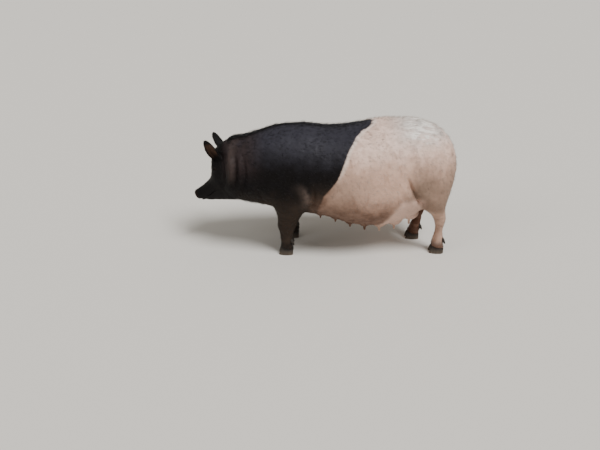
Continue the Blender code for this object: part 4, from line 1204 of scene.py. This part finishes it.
def eyeball_mesh():
    """A ball with the bulge of the cornea towards +X."""
    data = bpy.data.meshes.new("eyeball")
    turn = Matrix.Rotation(math.radians(90), 4, "Y")
    with edited(data) as mesh:
        bmesh.ops.create_uvsphere(
            mesh, u_segments=EYE_SEGMENTS, v_segments=EYE_RINGS, radius=EYE_RADIUS, matrix=turn
        )
        for vert in mesh.verts:
            angle = vert.co.angle(Vector((1, 0, 0)))
            if angle < CORNEA_REACH:
                rise = CORNEA_RISE * math.cos(angle / CORNEA_REACH * math.pi / 2) ** 2
                vert.co += vert.co.normalized() * rise
    data.shade_smooth()
    return data


def lid_edge(across, proud, way=1):
    """A place on the almond edge of the lids, proud of the eyeball, in the eye's own frame."""
    up = math.copysign(opening_edge(across), way)
    return Vector((math.sqrt(max((EYE_RADIUS + proud) ** 2 - across**2 - up**2, 0.0)), across, up))


def rim_mesh():
    """A ring of round section along the edge of the lids."""
    turns = [2 * math.pi * i / RIM_STEPS for i in range(RIM_STEPS)]
    middles = [lid_edge(LID_HALF_WIDTH * math.cos(turn), RIM_PROUD, math.sin(turn)) for turn in turns]
    points = []
    triangles = []
    for i, middle in enumerate(middles):
        n = (i + 1) % RIM_STEPS
        ahead = (middles[n] - middles[i - 1]).normalized()
        out = ahead.cross(Vector((1, 0, 0))).normalized() * RIM_RADIUS
        up = out.cross(ahead)
        for j in range(RIM_SIDES):
            angle = 2 * math.pi * j / RIM_SIDES
            points.append(middle + out * math.cos(angle) + up * math.sin(angle))
            k = (j + 1) % RIM_SIDES
            a, b, c, d = (row * RIM_SIDES + column for row, column in ((i, j), (i, k), (n, k), (n, j)))
            triangles += [(a, b, c), (a, c, d)]
    data = mesh_of_triangles("lid edge", points, triangles)
    with edited(data) as mesh:
        bmesh.ops.recalc_face_normals(mesh, faces=mesh.faces)
    return data


def lash_mesh(matrix, seed):
    """Upper lashes that stand out from the edge of the lid and bend down."""
    draw = np.random.default_rng(seed)
    turn = matrix.to_3x3()
    roots, ways, bends = [], [], []
    for i in range(LASHES):
        across = LID_HALF_WIDTH * LASH_SPAN * (1 - 2 * (i + draw.random()) / LASHES)
        way = Vector((0.9, across * LASH_FAN, 0.25)) + Vector(draw.normal(0, LASH_STRAY, 3))
        roots.append(matrix @ lid_edge(across, 2 * RIM_PROUD))
        ways.append(turn @ way)
        bends.append(turn @ (way + LASH_DROP))
    lengths = LASH_LENGTH * (0.7 + 0.5 * draw.random(LASHES))
    return bristle_mesh("lashes", roots, ways, bends, lengths, LASH_RADIUS, unwrapped("head", roots))


class SOW_OT_eyes(bpy.types.Operator):
    """Makes the eyeballs, the bare edges of the lids and the upper lashes"""

    bl_idname = "sow.eyes"
    bl_label = "Eyes"

    def execute(self, context):
        wet = eye_material(context.scene)
        moist = lid_rim_material(context.scene)
        for side in SIDES:
            matrix = eye_frame(side)
            ball = new_object("eyeball_" + side, eyeball_mesh())
            ball.matrix_world = matrix
            dress(ball, wet, "eye", "eye_" + side)
            rim = new_object("lid_edge_" + side, rim_mesh())
            rim.matrix_world = matrix
            dress(rim, moist, "dark_skin")
            lashes = new_object("lashes_" + side, lash_mesh(matrix, context.scene.sow_coat.seed + LASH_SEED))
            dress(lashes, bristle_material(context.scene), "bristle")
        return {"FINISHED"}


# Claws

CLAW_NET = 0.0011
CLAW_TRIANGLES = 5200
CLAW_RELAX = 0.55
CLAW_ROUNDS = 9
CLAW_RING_SPACING = 0.0058
CLAW_RING_HEIGHT = 0.00020
# How far the rings stray, and the dents of the horn: height or turn, size and seed of the noise
CLAW_RING_STRAY = (5, 0.016, 31)
CLAW_DENTS = (0.0005, 0.008, 32)
SOLE_HEIGHT = 0.0012
# How far the upper edge of a claw draws in under the skin, and where that begins as a share of its height
CLAW_TUCK = {"claw": 0.0042, "dewclaw": 0.0016}
CLAW_TUCK_FROM = 0.52
CLAW_TUCK_POWER = 1.5
# Dew claws: the way that they lean, how much slimmer they are at the tip and how much shorter
DEW_LEAN = Vector((0.55, 0.18, -1.0))
DEW_SLIM = 0.45
DEW_SLIM_FROM = 0.15
DEW_SHORTER = 0.005
# Between these heights from the floor the horn passes from whole to worn
HORN_WORN = (0.028, 0.002)


def horn_material(scene):
    """Claw horn: grown in rings, scuffed dull and worn pale at the ground."""
    made, tree, shader = new_material("horn_scuffed")
    detail = scene.sow_detail
    z = add(tree, "SeparateXYZ", {0: add(tree, "TexCoord", output="Object")}, "Z")
    fibres, smears = grains(tree, "fibres", "smears")
    worn = add(tree, "MapRange", dict(zip(STEP_SOCKETS, (z, *HORN_WORN))))
    horn = layered(
        tree,
        tint(detail.horn, 0.55),
        (tint(detail.horn, 1.35), fibres),
        (tint(detail.horn_edge), worn, smears),
    )
    connect(shader, {
        "Base Color": horn,
        "Roughness": add(tree, "MapRange", {"Value": smears, "To Min": 0.48, "To Max": 0.75}),
        "Specular IOR Level": 0.30,
        "Normal": bumps(tree, (fibres, 0.35, 0.0006)),
    })
    return made


def claw_heights(points, kind):
    """Rings and dents of the horn, and its upper edge drawn in under the skin."""
    up = points[:, 2]
    stray, size, seed = CLAW_RING_STRAY
    waves = 2 * math.pi * up / CLAW_RING_SPACING + stray * soft_noise(points, size, seed)
    rise, size, seed = CLAW_DENTS
    height = CLAW_RING_HEIGHT * np.sin(waves) + rise * soft_noise(points, size, seed)
    low, high = up.min(), up.max()
    tuck = smooth_step(up, low + (high - low) * CLAW_TUCK_FROM, high)
    return height - CLAW_TUCK[kind] * tuck**CLAW_TUCK_POWER


def slimmed(points, side):
    """A dew claw drawn in towards its tip, and a little shorter."""
    down = np.array((DEW_LEAN * Vector((1, side, 1))).normalized())
    along = points @ down
    share = (along - along.min()) / (along.max() - along.min())
    centre = points.mean(0)
    axis = centre + np.outer(along - centre @ down, down)
    size = eased(share, DEW_SLIM_FROM, 1.0, 1.0, 1 - DEW_SLIM)[:, None]
    return axis + (points - axis) * size - np.outer(DEW_SHORTER * share, down)


def claw(kind, foot, label):
    """One claw or dew claw in place of its solid, rounded and ringed."""
    node = f"{kind}_{foot}_{label}"
    made, _ = melted("horn_" + node, {node: 0.0}, CLAW_NET)
    flat = points_of(made.data)[:, 2] < SOLE_HEIGHT
    points = relax(made.data, np.where(flat, 0.0, CLAW_RELAX), CLAW_ROUNDS)
    if kind == "dewclaw":
        points = slimmed(points, SIDES[foot[5:]] * (1 if label == "outer" else -1))
    move_points(made.data, points)
    height = np.where(flat, 0.0, claw_heights(points, kind))
    points += normals_of(made.data) * height[:, None]
    points[:, 2] = np.maximum(points[:, 2], 0.0)
    move_points(made.data, points)
    thin_out(made, CLAW_TRIANGLES)
    made.data.shade_smooth()
    return made, node


class SOW_OT_claws(bpy.types.Operator):
    """Rounds the claws and dew claws and raises the rings that they grow in"""

    bl_idname = "sow.claws"
    bl_label = "Claws"

    def execute(self, context):
        horn = horn_material(context.scene)
        for kind in ("claw", "dewclaw"):
            for foot in FEET:
                for label in ("inner", "outer"):
                    made, node = claw(kind, foot, label)
                    dress(made, horn, "claw_horn", node)
        return {"FINISHED"}


# Bristles

# How the bristles of a piece grow: tufts to a square centimetre, length and radius as shares of the settings,
# and how far they stand off the skin
Coat = namedtuple("Coat", "nodes per_cm2 length radius stand")
COATS = {
    "coat_torso": Coat(("torso",), 0.53, 1.0, 1.0, 0.28),
    "coat_neck": Coat(("neck",), 0.9, 1.1, 1.0, 0.32),
    "coat_head": Coat(("head",), 2.2, 0.50, 0.7, 0.30),
    "coat_ears": Coat(EAR_NODES, 2.4, 0.40, 0.6, 0.35),
    "coat_legs": Coat(LEG_NODES, 1.1, 0.60, 0.8, 0.24),
    "coat_feet": Coat(LEG_NODES, 7.0, 0.70, 0.9, 0.40),
    "coat_tail": Coat(("tail",), 2.4, 0.60, 0.8, 0.30),
}
# What is added to the seed for each other piece
LASH_SEED = 5
CREST_SEED = 50
TASSEL_SEED = 70
TUFT_HAIRS = 3
TUFT_SPREAD = 0.0022
TUFT_SWAY = 0.16
# How near a node's box and surface a tuft grows, how far from the eyes, and how high the feet's coat reaches
COAT_MARGIN = 0.006
NODE_REACH = 0.012
EYE_BARE = 0.018
FEET_TOP = 0.066
ROOT_SUNK = 0.0012
# Where the narrower middle of a bristle lies as a share of its length, and its share of the radius
BRISTLE_MIDDLE = (0.55, 0.75)
# The long axis of each node, which its unwrapped skin is rolled out round, and the rows of plots in the map:
# where a row begins, the width and height of its plots, and its nodes
LONG_AXIS = {node: 0 if node in ("torso", "neck", "head", "snout") else 2 for node in FLESH_NODES}
PLOT_ROWS = (
    (0.01, 0.98, 0.46, ("torso",)),
    (0.49, 0.48, 0.16, ("neck", "head")),
    (0.67, 0.22, 0.15, LEG_NODES),
    (0.84, 0.22, 0.14, EAR_NODES + ("tail", "snout")),
)
PLOT_MARGIN = 0.01
TUFT_PATCH = 0.003
CREST_FROM = -0.455
CREST_TO = 0.190
CREST_HALF_WIDTH = 0.032
CREST_TUFTS = 2200
CREST_HAIRS = 4
# How the crest thickens forwards, fades along and aside, fans out, strays and droops
CREST_FORWARD = 1.5
CREST_FADE = (1.3, 0.3, 0.25)
CREST_FAN = 6
CREST_STRAY = (0.18, 0.12)
CREST_SPREAD = 0.0020
CREST_DROOP = Vector((0.6, 0, -0.55))
CREST_RADIUS = 1.25
TASSEL_HAIRS = 420
TASSEL_ROOTS = (0.28, 0.030)
TASSEL_SPREAD = (14, 4)
TASSEL_STRAY = 0.03
TASSEL_RADIUS = 1.6


def unit(rows):
    """Rows of vectors, each at length 1."""
    rows = np.asarray(rows)
    return rows / np.linalg.norm(rows, axis=1)[:, None]


def bristle_mesh(name, roots, ways, bends, lengths, radius, texture):
    """Three-sided tapered bristles: each leaves its root one way and bends to another."""
    roots = np.asarray(roots)
    ways, bends = unit(ways), unit(bends)
    # The small slant keeps the sides apart where a bristle doesn't bend
    side = unit(np.cross(ways, bends + np.array([0.01, 0.02, 0.03])))
    other = np.cross(ways, side)
    share, size = BRISTLE_MIDDLE
    middles = roots + ways * (lengths * share)[:, None]
    points = np.empty((len(roots), 7, 3))
    for k in range(3):
        angle = 2 * math.pi * k / 3
        out = (side * math.cos(angle) + other * math.sin(angle)) * radius
        points[:, k] = roots + out
        points[:, 3 + k] = middles + out * size
    points[:, 6] = middles + (ways + bends) * (lengths * (1 - share) / 2)[:, None]
    shape = [(0, 2, 1)]
    for k in range(3):
        n = (k + 1) % 3
        shape += [(k, n, 3 + n), (k, 3 + n, 3 + k), (3 + k, 3 + n, 6)]
    triangles = (np.arange(len(roots)) * 7)[:, None, None] + np.array(shape)[None]
    offsets = np.array([(k / 3, level) for level in (0.0, 0.5) for k in range(3)] + [(0.3, 1.0)])
    mapped = texture[:, None, :] + offsets[None] * TUFT_PATCH
    return mesh_of_triangles(name, points.reshape(-1, 3), triangles.reshape(-1, 3), mapped.reshape(-1, 2))


def unwrapped(node, points):
    """Places on the map of a node's skin, rolled out round its long axis."""
    points = np.asarray(points)
    bottom, width, height, row = next(plots for plots in PLOT_ROWS if node in plots[3])
    low, high = (np.array(corner) for corner in BOXES[node])
    axis = LONG_AXIS[node]
    first, second = (k for k in range(3) if k != axis)
    offset = points - (low + high) / 2
    around = np.arctan2(offset[:, second], offset[:, first]) / (2 * math.pi) + 0.5
    along = np.clip((points[:, axis] - low[axis]) / (high[axis] - low[axis]), 0, 1)
    left = row.index(node) / len(row) + PLOT_MARGIN
    return np.stack([left + width * around, bottom + height * along], 1)


def lie_of(node, points, normals):
    """The way the coat lies at places on a node: back and down the trunk, down the legs, up the ears."""
    lie = np.zeros_like(points)
    if node in LEG_NODES:
        lie[:] = (0.25, 0.0, -1.0)
    elif node == "tail":
        lie[:] = (0.05, 0.0, -1.0)
    elif node in EAR_NODES:
        lie[:] = HEAD_AXES @ Vector((0.05, SIDES[node.removeprefix("ear_")] * 0.35, 1.0))
    elif node == "head":
        lie[:] = HEAD_AXES @ Vector((1.0, 0.0, 0.35))
        lie[:, 2] -= 0.35 * np.clip(-normals[:, 2] + 0.2, 0, 1)
    else:
        rear = 0.9 * smooth_step(points[:, 0], 0.50, 0.60)
        lie[:, 0] = 1.0 - rear
        lie[:, 2] = -0.55 * np.clip(np.abs(normals[:, 1]), 0, 1) - rear
    lie += 0.10 * np.stack([soft_noise(points, 0.05, 41 + k) for k in range(3)], 1)
    lie -= normals * np.sum(lie * normals, 1)[:, None]
    return lie / np.maximum(np.linalg.norm(lie, axis=1), 1e-6)[:, None]


def tuft_size(node, places, normals):
    """How long tufts are beside the rest of their piece: longer on the back, shorter on muzzle and feet."""
    size = np.ones(len(places))
    if node in ("torso", "neck"):
        size *= 0.75 + 0.55 * np.clip(normals[:, 2], 0, 1)
        size *= eased(places[:, 2], 0.26, 0.20, 1.0, 0.65)
    elif node == "head":
        ahead, _, up = in_head(places)
        size *= eased(ahead, -0.02, 0.12, 1.25, 0.50)
        size *= eased(up, -0.03, -0.07, 1.0, 1.8)
    elif node in LEG_NODES:
        size *= eased(places[:, 2], 0.05, 0.14, 0.75, 1.0)
    return size


def coat_places(skin, name, draw):
    """Random places of a coat's tufts on the skin, with normals."""
    coat = COATS[name]
    skin.calc_loop_triangles()
    corners = read(skin.loop_triangles, "vertices", 3, np.int32)
    points, normals = points_of(skin), normals_of(skin)
    first, second, third = (points[corners[:, k]] for k in range(3))
    middles = points[corners].mean(1)
    grows = np.any([near_box(middles, node, COAT_MARGIN) for node in coat.nodes], axis=0)
    grows &= eye_distance(middles) > EYE_BARE
    if name == "coat_feet":
        grows &= middles[:, 2] < FEET_TOP
    area = np.where(grows, np.linalg.norm(np.cross(second - first, third - first), axis=1) / 2, 0.0)
    wanted = int(area.sum() * 1e4 * coat.per_cm2)
    chosen = corners[draw.choice(len(corners), wanted, p=area / area.sum())]
    one, two = draw.random(wanted), draw.random(wanted)
    over = one + two > 1
    one, two = np.where(over, 1 - one, one), np.where(over, 1 - two, two)
    shares = np.stack([1 - one - two, one, two], 1)[:, :, None]
    return (points[chosen] * shares).sum(1), unit((normals[chosen] * shares).sum(1))


def grow(name, rows, settings, draw):
    """A coat piece from tufts at places on several nodes."""
    coat = COATS[name]
    parts = []
    for node, places, normals in rows:
        lie = lie_of(node, places, normals)
        size = settings.body_length * coat.length * tuft_size(node, places, normals)
        for _ in range(TUFT_HAIRS):
            shift = draw.normal(0, TUFT_SPREAD, places.shape)
            shift -= normals * np.sum(shift * normals, 1)[:, None]
            stand = coat.stand * (0.6 + 0.8 * draw.random(len(places)))[:, None]
            sway = draw.normal(0, TUFT_SWAY, places.shape)
            parts.append((
                places + shift - normals * ROOT_SUNK,
                lie + normals * (stand + 0.25) + sway,
                lie + normals * stand * 0.3 + sway,
                size * (0.6 + 0.7 * draw.random(len(places))) + ROOT_SUNK,
                unwrapped(node, places),
            ))
    roots, ways, bends, lengths, texture = (np.concatenate(column) for column in zip(*parts))
    mesh = bristle_mesh(name, roots, ways, bends, lengths, settings.radius * coat.radius, texture)
    dress(new_object(name, mesh), bristle_material(bpy.context.scene), "bristle")


def nearest_nodes(points, trees):
    """The place in FLESH_NODES of the node whose surface is nearest to each point."""
    best = np.full(len(points), FAR)
    nearest = np.zeros(len(points), int)
    for number, node in enumerate(FLESH_NODES):
        for i in np.flatnonzero(near_box(points, node, NODE_REACH)):
            distance = trees[node].find_nearest(Vector(points[i]), NODE_REACH)[3]
            if distance is not None and distance < best[i]:
                best[i] = distance
                nearest[i] = number
    return nearest


def bristle_material(scene):
    """Bristle: stiff keratin with a dull satin shine, coloured by the same markings as the skin."""
    found = bpy.data.materials.get("bristle_keratin")
    if found:
        return found
    made, tree, shader = new_material("bristle_keratin")
    coat, skin = scene.sow_coat, scene.sow_skin
    marks = add(tree, "Group", node_tree=markings_group()).node.outputs
    (tufts,) = grains(tree, "tufts")
    pale = layered(
        tree,
        tint(coat.pale, 0.70),
        (tint(coat.pale, 1.2), tufts),
        # Painted shade on the pale bristles of hams, front flank and underside
        (tint(skin.shade_and_mud, 1.25), marks["Shaded"]),
        # Mud on the pale bristles, with painted shade under the belly and on the far hind leg
        (tint(skin.mud, 1.3), marks["Mud_and_shade"]),
    )
    dark = layered(tree, tint(coat.dark, 0.6), (tint(coat.dark, 2.0), tufts))
    connect(shader, {"Base Color": layered(tree, pale, (dark, marks["Dark"])), "Roughness": 0.42})
    return made


class SOW_OT_coat(bpy.types.Operator):
    """Grows the short bristles of the body in tufts that lie along it"""

    bl_idname = "sow.coat"
    bl_label = "Coat"

    def execute(self, context):
        settings = context.scene.sow_coat
        skin = context.scene.objects["skin"].data
        trees = {node: surface_tree(node) for node in FLESH_NODES}
        for number, name in enumerate(COATS):
            draw = np.random.default_rng(settings.seed + number)
            places, normals = coat_places(skin, name, draw)
            nearest = nearest_nodes(places, trees)
            rows = []
            for node in COATS[name].nodes:
                mine = nearest == FLESH_NODES.index(node)
                rows.append((node, places[mine], normals[mine]))
            grow(name, rows, settings, draw)
        return {"FINISHED"}


class SOW_OT_crest(bpy.types.Operator):
    """Grows the long bristles along the crest of neck and shoulders"""

    bl_idname = "sow.crest"
    bl_label = "Crest"

    def execute(self, context):
        settings = context.scene.sow_coat
        skin = context.scene.objects["skin"]
        draw = np.random.default_rng(settings.seed + CREST_SEED)
        along, aside, least = CREST_FADE
        rows = []
        while len(rows) < CREST_TUFTS:
            share = draw.random() ** CREST_FORWARD
            x = CREST_FROM + (CREST_TO - CREST_FROM) * share
            y = draw.normal(0, CREST_HALF_WIDTH / 2)
            hit, place, normal, _ = skin.ray_cast(Vector((x, y, FAR)), Vector((0, 0, -1)))
            if not hit:
                continue
            fade = max(1 - along * share - aside * abs(y) / CREST_HALF_WIDTH, least)
            way = Vector((1.0, CREST_FAN * y, 0.75)) + Vector(draw.normal(0, CREST_STRAY[0], 3))
            bend = (way + CREST_DROOP).normalized()
            length = settings.crest_length * fade * (0.7 + 0.5 * draw.random())
            node = "neck" if x < BOXES["torso"][0].x else "torso"
            texture = unwrapped(node, [place])[0]
            rows.append((place - normal * ROOT_SUNK, way.normalized(), bend, length, texture))
        roots, ways, bends, lengths, texture = (
            np.repeat(np.array(column), CREST_HAIRS, axis=0) for column in zip(*rows)
        )
        lengths = lengths * (0.75 + 0.4 * draw.random(len(roots)))
        roots = roots + draw.normal(0, CREST_SPREAD, roots.shape) * np.array([1, 1, 0])
        ways = ways + draw.normal(0, CREST_STRAY[1], ways.shape)
        mesh = bristle_mesh("crest", roots, ways, bends, lengths, settings.radius * CREST_RADIUS, texture)
        dress(new_object("crest_bristles", mesh), bristle_material(context.scene), "bristle")
        return {"FINISHED"}


class SOW_OT_tassel(bpy.types.Operator):
    """Grows the bristles at the end of the tail"""

    bl_idname = "sow.tassel"
    bl_label = "Tassel"

    def execute(self, context):
        settings = context.scene.sow_coat
        draw = np.random.default_rng(settings.seed + TASSEL_SEED)
        low, high = (np.array(corner) for corner in BOXES["tail_tuft"])
        run = np.array([0.0, 0.0, low[2] - high[2]])
        top = (low + high - run) / 2
        angle = draw.random(TASSEL_HAIRS) * 2 * math.pi
        share = draw.random(TASSEL_HAIRS) ** 0.5
        out = np.stack([np.cos(angle), np.sin(angle), np.zeros(TASSEL_HAIRS)], 1)
        out *= (high - low) / 2 * share[:, None]
        root_spread, root_rise = TASSEL_ROOTS
        rise = draw.random(TASSEL_HAIRS)[:, None] * np.array([0.0, 0.0, root_rise])
        roots = top + out * root_spread + rise
        lengths = -run[2] * (0.65 + 0.35 * draw.random(TASSEL_HAIRS)) * (1.0 - 0.2 * share)
        down = np.array([0.0, 0.0, -1.0])
        ways = down + out * TASSEL_SPREAD[0] + draw.normal(0, TASSEL_STRAY, out.shape)
        bends = down + out * TASSEL_SPREAD[1]
        radius = settings.radius * TASSEL_RADIUS
        mesh = bristle_mesh("tassel", roots, ways, bends, lengths, radius, unwrapped("tail", roots))
        dress(new_object("tail_tassel", mesh), bristle_material(context.scene), "bristle", "tail_tuft")
        return {"FINISHED"}


# Stage

FLOOR_SIDES = 96
FLOOR_RADIUS = 60.0
SENSOR_WIDTH = 36.0
KEY_FROM = Vector((1.4, -1.5, 3.0))
KEY_SOFTNESS = math.radians(24)
FILL_FROM = Vector((-2.4, -1.6, 1.8))
FILL_SOFTNESS = math.radians(30)


def soft_light(name, strength, source, softness):
    """A wide soft light that falls evenly on floor and animal from a direction."""
    light = bpy.data.lights.new(name, "SUN")
    light.energy = strength
    light.angle = softness
    holder = new_object(name, light)
    holder.location = source
    holder.rotation_euler = (-source).to_track_quat("-Z", "Y").to_euler()


class SOW_OT_stage(bpy.types.Operator):
    """Makes the floor, the lights and the camera"""

    bl_idname = "sow.stage"
    bl_label = "Stage"

    def execute(self, context):
        settings = context.scene.sow_stage
        data = bpy.data.meshes.new("floor")
        with edited(data) as mesh:
            bmesh.ops.create_circle(mesh, cap_ends=True, segments=FLOOR_SIDES, radius=FLOOR_RADIUS)
        # Painted board: matt and even, so that only her shadow shows on it
        board, _, shader = new_material("board_painted_matt")
        connect(shader, {"Base Color": tint(settings.floor), "Roughness": 0.9})
        data.materials.append(board)
        new_object("floor", data)
        world = bpy.data.worlds.new("studio")
        world.use_nodes = True
        background = {"Color": tint(settings.floor), "Strength": settings.room_strength}
        connect(world.node_tree.nodes["Background"], background)
        context.scene.world = world
        soft_light("key_light", settings.key_strength, KEY_FROM, KEY_SOFTNESS)
        soft_light("fill_light", settings.fill_strength, FILL_FROM, FILL_SOFTNESS)
        camera = bpy.data.cameras.new("camera")
        camera.sensor_width = SENSOR_WIDTH
        camera.lens = settings.lens
        holder = new_object("camera", camera)
        holder.location = settings.camera_place
        holder.rotation_euler = Euler((math.radians(90) - settings.camera_tilt, 0, 0))
        context.scene.camera = holder
        return {"FINISHED"}


class SOW_PT_panel(bpy.types.Panel):
    """Lists the sow's pieces and their settings"""

    bl_idname = "SOW_PT_panel"
    bl_label = "Sow"
    bl_space_type = "VIEW_3D"
    bl_region_type = "UI"
    bl_category = "Sow"

    def draw(self, context):
        for group, (_, operators) in GROUPS.items():
            box = self.layout.box()
            settings = getattr(context.scene, group)
            for name in settings.__annotations__:
                box.prop(settings, name)
            for operator in operators:
                box.operator(operator)


# The settings of the scene, each with the operators that go by them
GROUPS = {
    "sow_skin": (SowSkinSettings, ("sow.skin",)),
    "sow_detail": (SowDetailSettings, ("sow.eyes", "sow.claws")),
    "sow_coat": (SowCoatSettings, ("sow.coat", "sow.crest", "sow.tassel")),
    "sow_stage": (SowStageSettings, ("sow.stage",)),
}
CLASSES = (
    *(settings for settings, _ in GROUPS.values()),
    SOW_OT_stage,
    SOW_OT_skin,
    SOW_OT_eyes,
    SOW_OT_claws,
    SOW_OT_coat,
    SOW_OT_crest,
    SOW_OT_tassel,
    SOW_PT_panel,
)


def register():
    for made in CLASSES:
        bpy.utils.register_class(made)
    for name, (settings, _) in GROUPS.items():
        setattr(bpy.types.Scene, name, bpy.props.PointerProperty(type=settings))


def unregister():
    for name in GROUPS:
        delattr(bpy.types.Scene, name)
    for made in reversed(CLASSES):
        bpy.utils.unregister_class(made)


def main():
    register()
    bpy.ops.sow.stage()
    bpy.ops.sow.skin()
    bpy.ops.sow.eyes()
    bpy.ops.sow.claws()
    bpy.ops.sow.coat()
    bpy.ops.sow.crest()
    bpy.ops.sow.tassel()


if __name__ == "__main__":
    main()
